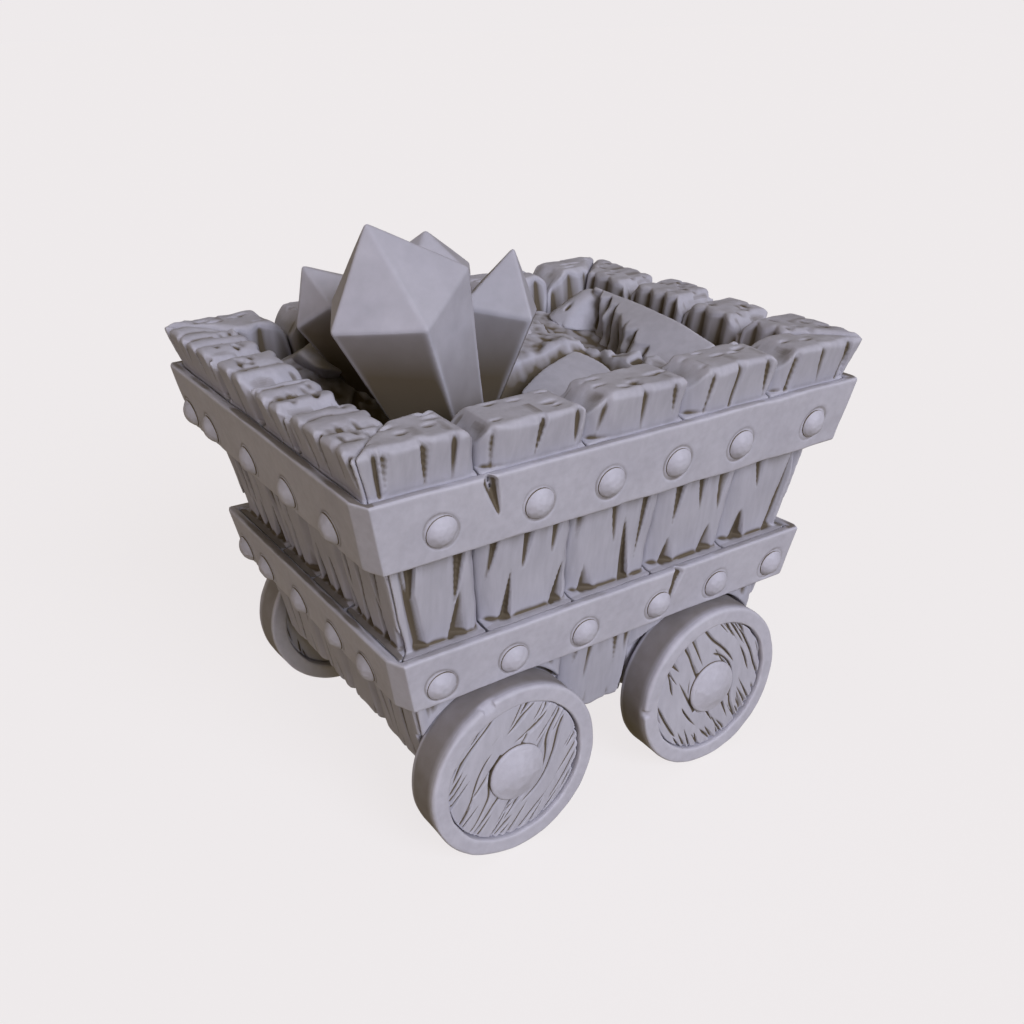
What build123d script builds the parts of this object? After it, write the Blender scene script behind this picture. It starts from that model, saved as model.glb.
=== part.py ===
"""Timber mine cart: a tapered plank tub in two iron hoops, on two axles, heaped with ore and crystals.

X runs along the cart, Y across it and Z up. The origin is on the ground, midway between the wheels.
All sizes are in millimetres.
"""
import os
from itertools import combinations
from math import cos, exp, pi, sin, sqrt

from build123d import *

# Tub: outer size at the rim, taper of its walls, and timber thickness.
RIM_LENGTH = 1200.0
RIM_WIDTH = 920.0
RIM_Z = 988.0
SKIRT_Z = 205.0
END_SLOPE = 0.21
SIDE_SLOPE = 0.135
WALL = 120.0
PLANK_GAP = 4.0
CORNER_GAP = 3.0
PLANK_BEVEL = 7.0
OVERCUT = 5.0
TOP_BEVEL = 9.0

# Plank joints along each wall, as places on the rim's outer edge.
FRONT_JOINTS = (-373.0, -126.0, 122.0, 368.0)
BACK_JOINTS = (-366.0, -130.0, 118.0, 362.0)
LEFT_JOINTS = (-191.0, -17.0, 168.0)
RIGHT_JOINTS = (-230.0, -34.0, 168.0)
FRONT_TOPS = (988.0, 980.0, 986.0, 988.0, 984.0)
BACK_TOPS = (984.0, 988.0, 982.0, 986.0, 988.0)
LEFT_TOPS = (986.0, 981.0, 988.0, 983.0)
RIGHT_TOPS = (988.0, 983.0, 987.0, 982.0)

# Hoops: heights, thickness, and the facet across each corner.
UPPER_BAND = (744.0, 892.0)
LOWER_BAND = (408.0, 535.0)
BAND = 23.0
BAND_EDGE = 4.0
FACET_X = 20.0
FACET_Y = 45.0

# Domed spikes that hold the hoops: places along each wall, and height on the hoop.
SPIKE_UPPER = {
    "front": (806.0, (-442.0, -236.0, -70.0, 98.0, 268.0, 481.0)),
    "back": (806.0, (-442.0, -236.0, -70.0, 98.0, 268.0, 442.0)),
    "left": (786.0, (-301.0, -118.0, 72.0, 283.0, 405.0)),
    "right": (786.0, (-301.0, -118.0, 72.0, 283.0, 405.0)),
}
SPIKE_LOWER = {
    "front": (456.0, (-425.0, -259.0, -84.0, 114.0, 280.0, 451.0)),
    "back": (456.0, (-385.0, -250.0, -84.0, 114.0, 270.0, 385.0)),
    "left": (446.0, (-260.0, -118.0, 53.0, 232.0, 350.0)),
    "right": (446.0, (-260.0, -118.0, 53.0, 232.0, 350.0)),
}
DOME_RADIUS = 34.0
DOME_HEIGHT = 17.0
SPIKE_RADIUS = 9.0
SPIKE_DEPTH = 80.0
SPIKE_PLAY = 0.15
SPIKE_TIP_RADIUS = 3.6
SPIKE_POINT = 14.0
UPPER_CRACK = [(-354.0, 900.0), (-326.0, 900.0), (-318.0, 806.0), (-332.0, 850.0)]
LOWER_CRACK = [(143.0, 540.0), (156.0, 540.0), (150.0, 470.0), (144.0, 500.0)]

# Wheels and axles.
WHEEL_RADIUS = 200.0
WHEEL_X = 270.0
WHEEL_FACE = 439.0
TREAD = 92.0
TYRE_INNER = 161.0
TYRE_BEVEL = 4.0
DISC_RECESS = 6.0
DISC_BACK_RECESS = 18.0
AXLE_BAR = 50.0
SLOT_PLAY = 2.0
SLOT_START = 100.0
BAR_END = 336.0
STUB_RADIUS = 22.0
STUB = 10.0
COLLAR_RADIUS = 34.0
COLLAR_END = 352.0
JOURNAL_RADIUS = 20.0
JOURNAL_PLAY = 0.05
END_FLOAT = 0.4
THREAD_RADIUS = 15.0
THREAD_END = 433.0
THREAD_CHAMFER = 2.0
BUSH_RADIUS = 28.0
BUSH_END = 408.0
BUSH_FLANGE_RADIUS = 40.0
BUSH_FLANGE = 8.0
WASHER_RADIUS = 28.0
WASHER = 3.0
NUT_FLATS = 46.0
NUT_HEIGHT = 20.0
CAP_RADIUS = 66.0
CAP_STEPS = ((66.0, 8.0), (54.0, 14.0), (34.0, 20.0), (20.0, 22.0))
CAP_HEIGHT = 22.0
CAP_SPIGOT = 40.0
CAP_SPIGOT_DEPTH = 6.0
CAP_BORE = 31.0
CAP_SHELL = 9.0
WHEEL_CLEARANCE = 12.0
ARCH_RADIUS = 206.0

# Underframe and floor.
SILL_Y = 170.0
SILL_WIDTH = 80.0
SILL_TOP = 285.0
FLOOR_TOP = 325.0
FLOOR_JOINTS = (-166.0, 4.0, 172.0)
FLOOR_GAP = 3.0
FLOOR_HALF = 320.0
BAR_SEAT = 20.0
CLIP_WIDTH = 60.0
CLIP = 8.0
CLIP_INNER_BOLT = 225.0
CLIP_OUTER_BOLT = 350.0
CLIP_FOOT = 12.0
CLIP_OUTER_FOOT = 22.0
CLIP_PLAY = 1.0
CLIP_BOLT_RADIUS = 6.0
CLIP_BOLT_TOP = 255.0
CLIP_BOLT_FLATS = 19.0
CLIP_BOLT_HEAD = 8.0
NAIL_RADIUS = 3.0
NAIL_HEAD_RADIUS = 7.0
NAIL_HEAD = 3.0
NAIL_LENGTH = 62.0
NAIL_X = 60.0

# Load: the heap's surface, its loose rocks, and the crystals.
LOAD_PLAY = 4.0
HEAP_Z = 900.0
HOLLOW_DEPTH = 185.0
HOLLOW_AT = (-260.0, -160.0)
HOLLOW_SIZE = (380.0, 280.0)
HEAP_CELLS = (14, 10)
HEAP_ROUGHNESS = 11.0
HEAP_WAVES = (31.0, 37.0, 23.0)
HEAP_PHASES = (1.3, -0.4)
HEAP_SKEW = 0.6
ROCKS = {
    "ridge_rock": (
        (398, 215, 984), (406, 104, 966), (412, 8, 962), (404, -112, 964), (408, -228, 938),
        (345, 285, 918), (430, 190, 900), (432, -225, 880), (320, -185, 888), (286, -104, 880),
        (300, 30, 890), (190, 140, 882), (250, 240, 900), (330, -20, 820), (400, 60, 840),
    ),
    "front_slab": (
        (12, -112, 872), (82, -22, 896), (205, 22, 903), (228, -72, 888), (16, -272, 802),
        (184, -268, 818), (100, -60, 780), (62, -205, 768), (152, -190, 776),
    ),
    "back_rock": (
        (120, 190, 952), (190, 262, 962), (60, 255, 938), (170, 130, 905), (55, 140, 900),
        (210, 225, 900), (115, 225, 850),
    ),
    "corner_rock": (
        (-395, 215, 948), (-330, 262, 955), (-290, 215, 935), (-385, 130, 930), (-300, 140, 900),
        (-345, 200, 860), (-400, 262, 915),
    ),
}
LOOSE_ROCKS = ("back_rock", "corner_rock")
# Each crystal: sides, foot (x, y), lean (x, y), girdle and tip height, girdle and foot radius, turn,
# and how far each girdle corner is raised.
CRYSTAL_FOOT_Z = 720.0
CRYSTAL_ROOT = 45.0
CRYSTALS = {
    "large_crystal": (5, (-197, -125), (-0.332, 0.038), 422, 576, 154, 65, 3.314, (10, -23, 12, 0, 0)),
    "right_crystal": (4, (-92, 17), (0.208, -0.095), 326, 455, 107, 34, 3.230, (-2, 8, -5, 0)),
    "back_crystal": (5, (-88, 190), (0.031, 0.047), 364, 449, 120, 72, 2.596, (0, 0, 0, 0, 0)),
    "left_crystal": (5, (-104, 104), (-0.660, 0.252), 408, 500, 96, 84, 3.184, (5, 14, -18, 0, 0)),
}


def half_length(z):
    """Outer half length of the tub at height z."""
    return RIM_LENGTH / 2 - END_SLOPE * (RIM_Z - z)


def half_width(z):
    """Outer half width of the tub at height z."""
    return RIM_WIDTH / 2 - SIDE_SLOPE * (RIM_Z - z)


def closed_solid(rings):
    """A solid between flat rings that have the same number of points and parallel edges."""
    faces = [Face(Wire.make_polygon(ring)) for ring in (rings[0], rings[-1])]
    for low, high in zip(rings, rings[1:]):
        for i, j in zip(range(len(low)), [*range(1, len(low)), 0]):
            faces.append(Face(Wire.make_polygon([low[i], low[j], high[j], high[i]])))
    return outward(Solid(Shell(faces)))


def outward(solid):
    """The same solid with its faces pointing out."""
    return solid if solid.volume > 0 else Solid(solid.wrapped.Reversed())


def hull_solid(points):
    """Convex solid around a few points, no four of which share an outer face."""
    corners = [Vector(*point) for point in points]
    faces = []
    for a, b, c in combinations(corners, 3):
        normal = (b - a).cross(c - a)
        sides = [normal.dot(p - a) for p in corners if p not in (a, b, c)]
        if min(sides) > 0 or max(sides) < 0:
            faces.append(Face(Wire.make_polygon([a, b, c])))
    return outward(Solid(Shell(faces)))


def box_between(x_range, y_range, z_range):
    """Plain box between the given limits."""
    size = [high - low for low, high in (x_range, y_range, z_range)]
    middle = [(low + high) / 2 for low, high in (x_range, y_range, z_range)]
    return Pos(*middle) * Box(*size)


def across(profile, side):
    """Turned piece about a wheel's axis: profile is (radius, distance from the cart's middle)."""
    ring = [(radius, 0, reach) for radius, reach in profile]
    piece = revolve(Face(Wire.make_polygon(ring)), Axis.Z, 360)
    return Rot(X=-90 * side) * piece


def cylinder_up(radius, x, y, z_low, z_high):
    """Upright cylinder."""
    return Pos(x, y, (z_low + z_high) / 2) * Cylinder(radius, z_high - z_low)


def write(node, pieces):
    """Write one node: a single solid, or a group of separate like pieces."""
    pieces = pieces if isinstance(pieces, list) else [pieces]
    solids = [solid for piece in pieces for solid in piece.solids()]
    shape = solids[0] if len(solids) == 1 else Compound(children=solids)
    export_step(shape, f"parts/{node}.step")


# ---- planks ------------------------------------------------------------------------------------

def wall_point(wall, along, depth, z):
    """Point on a wall, so far along it and so deep behind its outer face."""
    if wall in ("front", "back"):
        y = half_width(z) - depth
        return (along, -y if wall == "front" else y, z)
    x = half_length(z) - depth
    return (-x if wall == "left" else x, along, z)


def plank_edge(wall, joint, side, depth, z):
    """Place along the wall of a plank's edge: at a joint, or at a mitred corner if joint is None."""
    long_wall = wall in ("front", "back")
    half = half_length(z) if long_wall else half_width(z)
    if joint is None:
        return side * (half - depth - CORNER_GAP)
    rim = RIM_LENGTH / 2 if long_wall else RIM_WIDTH / 2
    return joint * half / rim - side * PLANK_GAP / 2


def plank_ring(wall, joints, z, inset):
    """Plank's outline at height z, drawn in by inset, with bevelled outer edges at its joints."""
    ring = []
    for side, joint in zip((-1, 1), joints):
        outer = inset
        inner = WALL - inset
        shift = side * inset * (sqrt(2) if joint is None else 1)
        edge = plank_edge(wall, joint, side, outer, z) - shift
        deep_edge = plank_edge(wall, joint, side, inner, z) - shift
        if joint is None:
            corner = [(edge, outer), (deep_edge, inner)]
        else:
            bevelled = edge - side * PLANK_BEVEL
            corner = [(bevelled, outer), (edge, outer + PLANK_BEVEL), (deep_edge, inner)]
        ring += corner if side > 0 else corner[::-1]
    return [wall_point(wall, along, depth, z) for along, depth in ring]


def spikes_of(table):
    """Wall, place along it and height of every spike in one hoop."""
    return [(wall, along, z) for wall, (z, places) in table.items() for along in places]


def spike_plane(wall, along, z):
    """Plane on a hoop's outer face, looking out."""
    slope = SIDE_SLOPE if wall in ("front", "back") else END_SLOPE
    out = {"front": (0, -1), "back": (0, 1), "left": (-1, 0), "right": (1, 0)}[wall]
    return Plane(origin=wall_point(wall, along, -BAND, z), z_dir=(out[0], out[1], -slope))


def spike_holes(radius, wall, along, z):
    """Round hole for a spike, right through its hoop and into the timber."""
    depth = BAND + SPIKE_DEPTH + OVERCUT
    hole = Pos(0, 0, (OVERCUT - depth) / 2) * Cylinder(radius, depth + OVERCUT)
    return spike_plane(wall, along, z).location * hole


def axle_cuts(side):
    """Cuts on one side of the tub: a housing behind each wheel and a slot over each axle."""
    housing = side * (WHEEL_FACE - TREAD - WHEEL_CLEARANCE)
    reach = side * WHEEL_FACE
    cuts = []
    for x in (-WHEEL_X, WHEEL_X):
        arch = Cylinder(ARCH_RADIUS, abs(reach - housing), rotation=(90, 0, 0))
        cuts.append(Pos(x, (housing + reach) / 2, WHEEL_RADIUS) * arch)
        half = AXLE_BAR / 2 + SLOT_PLAY
        y_range = sorted((side * SLOT_START, side * WHEEL_FACE))
        cuts.append(box_between((x - half, x + half), y_range, (SKIRT_Z - OVERCUT, WHEEL_RADIUS + half)))
    return cuts


def clip_bolts():
    """Centres of the bolts that hold the axle clips."""
    return [(end * x, side * SILL_Y)
            for end in (-1, 1) for x in (CLIP_INNER_BOLT, CLIP_OUTER_BOLT) for side in (-1, 1)]


def bolt_holes():
    """Holes for the clip bolts."""
    return [cylinder_up(CLIP_BOLT_RADIUS + SPIKE_PLAY, x, y, SKIRT_Z - OVERCUT, CLIP_BOLT_TOP + CLIP_PLAY)
            for x, y in clip_bolts()]


def plank(wall, joints, top):
    """One wall timber, holed for its spikes."""
    rings = [plank_ring(wall, joints, z, inset)
             for z, inset in ((SKIRT_Z, 0), (top - TOP_BEVEL, 0), (top, TOP_BEVEL))]
    timber = closed_solid(rings)
    cuts = [spike_holes(SPIKE_RADIUS + SPIKE_PLAY, *spike)
            for spike in spikes_of(SPIKE_UPPER) + spikes_of(SPIKE_LOWER)]
    cuts += axle_cuts(-1) + axle_cuts(1) + bolt_holes()
    box = timber.bounding_box()
    near = [cut for cut in cuts if boxes_meet(box, cut.bounding_box())]
    return timber - near if near else timber


def boxes_meet(a, b):
    """Whether two bounding boxes overlap."""
    return (a.min.X < b.max.X and b.min.X < a.max.X and a.min.Y < b.max.Y
            and b.min.Y < a.max.Y and a.min.Z < b.max.Z and b.min.Z < a.max.Z)


def write_planks():
    """All wall timbers, numbered along X on the long walls and along Y on the ends."""
    walls = {
        "front": ("front_plank", FRONT_JOINTS, FRONT_TOPS),
        "back": ("back_plank", BACK_JOINTS, BACK_TOPS),
        "left": ("left_end_plank", LEFT_JOINTS, LEFT_TOPS),
        "right": ("right_end_plank", RIGHT_JOINTS, RIGHT_TOPS),
    }
    for wall, (name, joints, tops) in walls.items():
        edges = [None, *joints, None]
        for number, (pair, top) in enumerate(zip(zip(edges, edges[1:]), tops), 1):
            write(f"{name}_{number}", plank(wall, pair, top))


# ---- hoops and spikes --------------------------------------------------------------------------

def hoop_ring(z, proud):
    """Outer outline of a hoop at height z, with a facet across each corner."""
    x = half_length(z) + proud
    y = half_width(z) + proud
    ring = []
    for sx, sy in ((-1, -1), (1, -1), (1, 1), (-1, 1)):
        pair = [(sx * (x - FACET_X), sy * y), (sx * x, sy * (y - FACET_Y))]
        ring += pair if sx * sy < 0 else pair[::-1]
    return [(a, b, z) for a, b in ring]


def tub_ring(z, depth):
    """Outline of the tub at height z, so deep behind its outer faces."""
    x = half_length(z) - depth
    y = half_width(z) - depth
    return [(-x, -y, z), (x, -y, z), (x, y, z), (-x, y, z)]


def hoop(limits, table):
    """Iron hoop around the tub, holed for its spikes."""
    low, high = limits
    levels = ((low, BAND - BAND_EDGE), (low + BAND_EDGE, BAND), (high - BAND_EDGE, BAND),
              (high, BAND - BAND_EDGE))
    iron = closed_solid([hoop_ring(z, proud) for z, proud in levels])
    cuts = [closed_solid([tub_ring(z, 0) for z in (low - OVERCUT, high + OVERCUT)])]
    cuts += [spike_holes(SPIKE_RADIUS + SPIKE_PLAY, *spike) for spike in spikes_of(table)]
    return iron - cuts


def notch(points):
    """Tapered crack through a hoop's front face: its outline in X and Z, cut across the iron."""
    outline = Face(Wire.make_polygon([(x, -RIM_WIDTH / 2 - BAND, z) for x, z in points]))
    return extrude(outline, amount=RIM_WIDTH / 4, dir=(0, 1, 0))


def spike():
    """Domed spike: head on the XY plane looking up, shank below it."""
    shank = BAND + SPIKE_DEPTH
    with BuildSketch(Plane.XZ) as half:
        with BuildLine():
            Line((0, -shank), (SPIKE_TIP_RADIUS, -shank))
            Line((SPIKE_TIP_RADIUS, -shank), (SPIKE_RADIUS, -shank + SPIKE_POINT))
            Line((SPIKE_RADIUS, -shank + SPIKE_POINT), (SPIKE_RADIUS, 0))
            Line((SPIKE_RADIUS, 0), (DOME_RADIUS, 0))
            middle = DOME_RADIUS * 0.6
            ThreePointArc((DOME_RADIUS, 0), (middle, dome_height(middle)), (0, DOME_HEIGHT))
            Line((0, DOME_HEIGHT), (0, -shank))
        make_face()
    return revolve(half.sketch, Axis.Z, 360)


def dome_height(radius):
    """Height of a spike's round head so far from its centre."""
    sphere = (DOME_RADIUS ** 2 + DOME_HEIGHT ** 2) / (2 * DOME_HEIGHT)
    return (sphere ** 2 - radius ** 2) ** 0.5 - sphere + DOME_HEIGHT


def write_hoops():
    """Both hoops, their cracks, and the spikes in them."""
    one_spike = spike()
    cracks = {
        "upper": notch(UPPER_CRACK),
        "lower": notch(LOWER_CRACK),
    }
    for name, limits, table in (("upper", UPPER_BAND, SPIKE_UPPER), ("lower", LOWER_BAND, SPIKE_LOWER)):
        write(f"{name}_band", hoop(limits, table) - cracks[name])
        write(f"{name}_band_spikes", [spike_plane(*place).location * one_spike for place in spikes_of(table)])


# ---- floor and underframe ----------------------------------------------------------------------

def between_ends(x_low, x_high, y_low, y_high, z_low, z_high):
    """Timber inside the tub: a limit of None follows the sloping wall on that side."""
    def ring(z):
        x = half_length(z) - WALL
        y = half_width(z) - WALL
        x0 = -x if x_low is None else x_low
        x1 = x if x_high is None else x_high
        y0 = -y if y_low is None else y_low
        y1 = y if y_high is None else y_high
        return [(x0, y0, z), (x1, y0, z), (x1, y1, z), (x0, y1, z)]
    return closed_solid([ring(z_low), ring(z_high)])


def nail_places():
    """Centres of the floor nails: two in each board over each sill."""
    edges = (-FLOOR_HALF, *FLOOR_JOINTS, FLOOR_HALF)
    middles = [(low + high) / 2 for low, high in zip(edges, edges[1:])]
    return [(x + dx, side * SILL_Y) for x in middles for dx in (-NAIL_X / 2, NAIL_X / 2) for side in (-1, 1)]


def nail(x, y, play):
    """Flat-headed nail, its head flush with the floor."""
    head = cylinder_up(NAIL_HEAD_RADIUS + play, x, y, FLOOR_TOP - NAIL_HEAD, FLOOR_TOP + play)
    return head + cylinder_up(NAIL_RADIUS + play, x, y, FLOOR_TOP - NAIL_LENGTH, FLOOR_TOP - NAIL_HEAD)


def sill(side):
    """Long timber under the floor, seated over both axle bars and stepped for the clips' inner feet."""
    y_low, y_high = sorted((side * (SILL_Y - SILL_WIDTH / 2), side * (SILL_Y + SILL_WIDTH / 2)))
    timber = between_ends(None, None, y_low, y_high, SKIRT_Z, SILL_TOP)
    across_sill = (y_low - OVERCUT, y_high + OVERCUT)
    cuts = []
    for end in (-1, 1):
        seat = sorted((end * (WHEEL_X - AXLE_BAR / 2), end * (WHEEL_X + AXLE_BAR / 2)))
        cuts.append(box_between(seat, across_sill, (SKIRT_Z - OVERCUT, SKIRT_Z + BAR_SEAT)))
        step = sorted((end * (CLIP_INNER_BOLT - CLIP_FOOT - CLIP_PLAY), end * WHEEL_X))
        cuts.append(box_between(step, across_sill, (SKIRT_Z - OVERCUT, SKIRT_Z + CLIP)))
    nails = [nail(x, y, SPIKE_PLAY) for x, y in nail_places() if y * side > 0]
    bolts = [hole for hole, (x, y) in zip(bolt_holes(), clip_bolts()) if y * side > 0]
    return timber - cuts - nails - bolts


def axle(end):
    """Forged axle: a square bar with a collar, a turned journal and a threaded tip at each end."""
    x = end * WHEEL_X
    half = AXLE_BAR / 2
    bar = box_between((x - half, x + half), (-BAR_END, BAR_END), (WHEEL_RADIUS - half, WHEEL_RADIUS + half))
    ends = []
    for side in (-1, 1):
        profile = [(0, BAR_END - STUB), (STUB_RADIUS, BAR_END - STUB), (STUB_RADIUS, BAR_END),
                   (COLLAR_RADIUS, BAR_END), (COLLAR_RADIUS, COLLAR_END),
                   (JOURNAL_RADIUS, COLLAR_END), (JOURNAL_RADIUS, BUSH_END + END_FLOAT),
                   (THREAD_RADIUS, BUSH_END + END_FLOAT), (THREAD_RADIUS, THREAD_END - THREAD_CHAMFER),
                   (THREAD_RADIUS - THREAD_CHAMFER, THREAD_END), (0, THREAD_END)]
        ends.append(Pos(x, 0, WHEEL_RADIUS) * across(profile, side))
    return bar + ends


def clip(end, side):
    """Bent strap under one axle bar: its inner foot is let into the sill, its outer foot lies below."""
    half = AXLE_BAR / 2
    bar_low = WHEEL_RADIUS - half
    low = SKIRT_Z - CLIP
    high = SKIRT_Z + CLIP
    inner = CLIP_INNER_BOLT - CLIP_FOOT
    outer = CLIP_OUTER_BOLT + CLIP_OUTER_FOOT
    y_range = (side * SILL_Y - CLIP_WIDTH / 2, side * SILL_Y + CLIP_WIDTH / 2)
    profile = [(inner, SKIRT_Z), (WHEEL_X - half - CLIP, SKIRT_Z), (WHEEL_X - half - CLIP, bar_low - CLIP),
               (WHEEL_X + half + CLIP, bar_low - CLIP), (WHEEL_X + half + CLIP, low), (outer, low),
               (outer, SKIRT_Z), (WHEEL_X + half, SKIRT_Z), (WHEEL_X + half, bar_low),
               (WHEEL_X - half, bar_low), (WHEEL_X - half, high), (inner, high)]
    outline = Face(Wire.make_polygon([(end * x, y_range[0], z) for x, z in profile]))
    strap = extrude(outline, amount=CLIP_WIDTH, dir=(0, 1, 0))
    holes = [cylinder_up(CLIP_BOLT_RADIUS + SPIKE_PLAY, x, y, bar_low, high + OVERCUT)
             for x, y in clip_bolts() if x * end > 0 and y * side > 0]
    return strap - holes


def clip_bolt(x, y):
    """Hexagon-headed coach screw, driven up through a clip."""
    foot_z = SKIRT_Z if abs(x) < WHEEL_X else SKIRT_Z - CLIP
    head_z = foot_z - CLIP_BOLT_HEAD
    hexagon = RegularPolygon(CLIP_BOLT_FLATS / 2, 6, major_radius=False)
    head = Pos(x, y, head_z) * extrude(hexagon, CLIP_BOLT_HEAD)
    return head + cylinder_up(CLIP_BOLT_RADIUS, x, y, foot_z, CLIP_BOLT_TOP)


def write_underframe():
    """Floor, sills, axles and what holds them together."""
    edges = [None, *FLOOR_JOINTS, None]
    holes = [nail(x, y, SPIKE_PLAY) for x, y in nail_places()]
    for number, (low, high) in enumerate(zip(edges, edges[1:]), 1):
        x_low = None if low is None else low + FLOOR_GAP / 2
        x_high = None if high is None else high - FLOOR_GAP / 2
        write(f"floor_board_{number}", between_ends(x_low, x_high, None, None, SILL_TOP, FLOOR_TOP) - holes)
    write("floor_nails", [nail(x, y, 0) for x, y in nail_places()])
    write("front_sill", sill(-1))
    write("back_sill", sill(1))
    write("left_axle", axle(-1))
    write("right_axle", axle(1))
    write("axle_clips", [clip(end, side) for end in (-1, 1) for side in (-1, 1)])
    write("clip_bolts", [clip_bolt(x, y) for x, y in clip_bolts()])


# ---- wheels ------------------------------------------------------------------------------------

def tyre(side):
    """Plain broad rim."""
    inner = WHEEL_FACE - TREAD
    profile = [(TYRE_INNER, inner), (WHEEL_RADIUS - TYRE_BEVEL, inner), (WHEEL_RADIUS, inner + TYRE_BEVEL),
               (WHEEL_RADIUS, WHEEL_FACE - TYRE_BEVEL), (WHEEL_RADIUS - TYRE_BEVEL, WHEEL_FACE),
               (TYRE_INNER, WHEEL_FACE)]
    return across(profile, side)


def disc(side):
    """Wooden web of the wheel, bored for its bush and recessed for the axle nut."""
    face = WHEEL_FACE - DISC_RECESS
    back = WHEEL_FACE - TREAD + DISC_BACK_RECESS
    profile = [(BUSH_RADIUS, back), (TYRE_INNER, back), (TYRE_INNER, face), (CAP_SPIGOT, face),
               (CAP_SPIGOT, BUSH_END), (BUSH_RADIUS, BUSH_END)]
    return across(profile, side)


def bush(side):
    """Flanged bearing bush."""
    back = WHEEL_FACE - TREAD + DISC_BACK_RECESS
    bore = JOURNAL_RADIUS + JOURNAL_PLAY
    profile = [(bore, back - BUSH_FLANGE), (BUSH_FLANGE_RADIUS, back - BUSH_FLANGE),
               (BUSH_FLANGE_RADIUS, back), (BUSH_RADIUS, back), (BUSH_RADIUS, BUSH_END), (bore, BUSH_END)]
    return across(profile, side)


def cap(side):
    """Domed hub cap, hollow over the axle nut, with a spigot that presses into the disc."""
    face = WHEEL_FACE - DISC_RECESS
    top = face + CAP_HEIGHT
    ceiling = top - CAP_SHELL
    profile = [(0, ceiling), (CAP_BORE, ceiling), (CAP_BORE, face - CAP_SPIGOT_DEPTH),
               (CAP_SPIGOT, face - CAP_SPIGOT_DEPTH), (CAP_SPIGOT, face), (CAP_RADIUS, face),
               *[(radius, face + height) for radius, height in CAP_STEPS], (0, top)]
    return across(profile, side)


def thrust_washer(side):
    """Washer between an axle's collar and a wheel's bush."""
    back = WHEEL_FACE - TREAD + DISC_BACK_RECESS - BUSH_FLANGE
    bore = JOURNAL_RADIUS + SPIKE_PLAY
    limits = (COLLAR_END, back - END_FLOAT)
    profile = [(bore, limits[0]), (COLLAR_RADIUS, limits[0]), (COLLAR_RADIUS, limits[1]), (bore, limits[1])]
    return across(profile, side)


def nut_washer(side):
    """Washer under an axle nut."""
    bore = THREAD_RADIUS + SPIKE_PLAY
    low = BUSH_END + END_FLOAT
    return across([(bore, low), (WASHER_RADIUS, low), (WASHER_RADIUS, low + WASHER), (bore, low + WASHER)], side)


def nut(side):
    """Hexagon axle nut."""
    block = extrude(RegularPolygon(NUT_FLATS / 2, 6, major_radius=False), NUT_HEIGHT)
    hole = Pos(0, 0, NUT_HEIGHT / 2) * Cylinder(THREAD_RADIUS + SPIKE_PLAY, NUT_HEIGHT + OVERCUT)
    seat = BUSH_END + END_FLOAT + WASHER
    return Rot(X=-90 * side) * (Pos(0, 0, seat) * (block - hole))


def write_wheels():
    """Four like wheels, and the washers and nuts that keep them on their axles."""
    for x_name, end in (("left", -1), ("right", 1)):
        for y_name, side in (("front", -1), ("back", 1)):
            hub = Pos(end * WHEEL_X, 0, WHEEL_RADIUS)
            for piece, make in (("tyre", tyre), ("disc", disc), ("hub_bush", bush), ("hub_cap", cap)):
                write(f"{y_name}_{x_name}_{piece}", hub * make(side))
    places = [(Pos(end * WHEEL_X, 0, WHEEL_RADIUS), side) for end in (-1, 1) for side in (-1, 1)]
    write("thrust_washers", [hub * thrust_washer(side) for hub, side in places])
    write("nut_washers", [hub * nut_washer(side) for hub, side in places])
    write("axle_nuts", [hub * nut(side) for hub, side in places])


# ---- load --------------------------------------------------------------------------------------

def crystal(sides, foot, lean, girdle, tip, radius, foot_radius, turn, raised):
    """Leaning crystal: it widens from its foot to a girdle, then comes to a point."""
    up = Vector(lean[0], lean[1], 1).normalized()
    first = Vector(0, 1, 0).cross(up).normalized()
    second = up.cross(first)
    base = Vector(*foot, CRYSTAL_FOOT_Z)
    root_radius = foot_radius - CRYSTAL_ROOT * (radius - foot_radius) / girdle
    points = [base + up * tip]
    for i in range(sides):
        angle = turn + 2 * pi * i / sides
        spoke = first * cos(angle) + second * sin(angle)
        points.append(base + up * (girdle + raised[i]) + spoke * radius)
        points.append(base - up * CRYSTAL_ROOT + spoke * root_radius)
    return points


def crystal_solid(points):
    """Crystal's solid: a flat root, side faces and a tip."""
    tip, girdle, root = points[0], points[1::2], points[2::2]
    faces = [Face(Wire.make_polygon(root))]
    for i in range(len(girdle)):
        j = (i + 1) % len(girdle)
        faces.append(Face(Wire.make_polygon([tip, girdle[i], girdle[j]])))
        faces.append(Face(Wire.make_polygon([root[i], root[j], girdle[j]])))
        faces.append(Face(Wire.make_polygon([root[i], girdle[j], girdle[i]])))
    return outward(Solid(Shell(faces)))


def heap_height(x, y):
    """Height of the heap: level, with a hollow around the crystals and small bumps."""
    dx = (x - HOLLOW_AT[0]) / HOLLOW_SIZE[0]
    dy = (y - HOLLOW_AT[1]) / HOLLOW_SIZE[1]
    hollow = HOLLOW_DEPTH * exp(-(dx * dx + dy * dy) ** 2)
    bumps = sin(x / HEAP_WAVES[0] + HEAP_PHASES[0]) * cos(y / HEAP_WAVES[1] + HEAP_PHASES[1])
    bumps += HEAP_SKEW * sin((x + 2 * y) / HEAP_WAVES[2])
    return HEAP_Z - hollow + HEAP_ROUGHNESS * bumps


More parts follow.
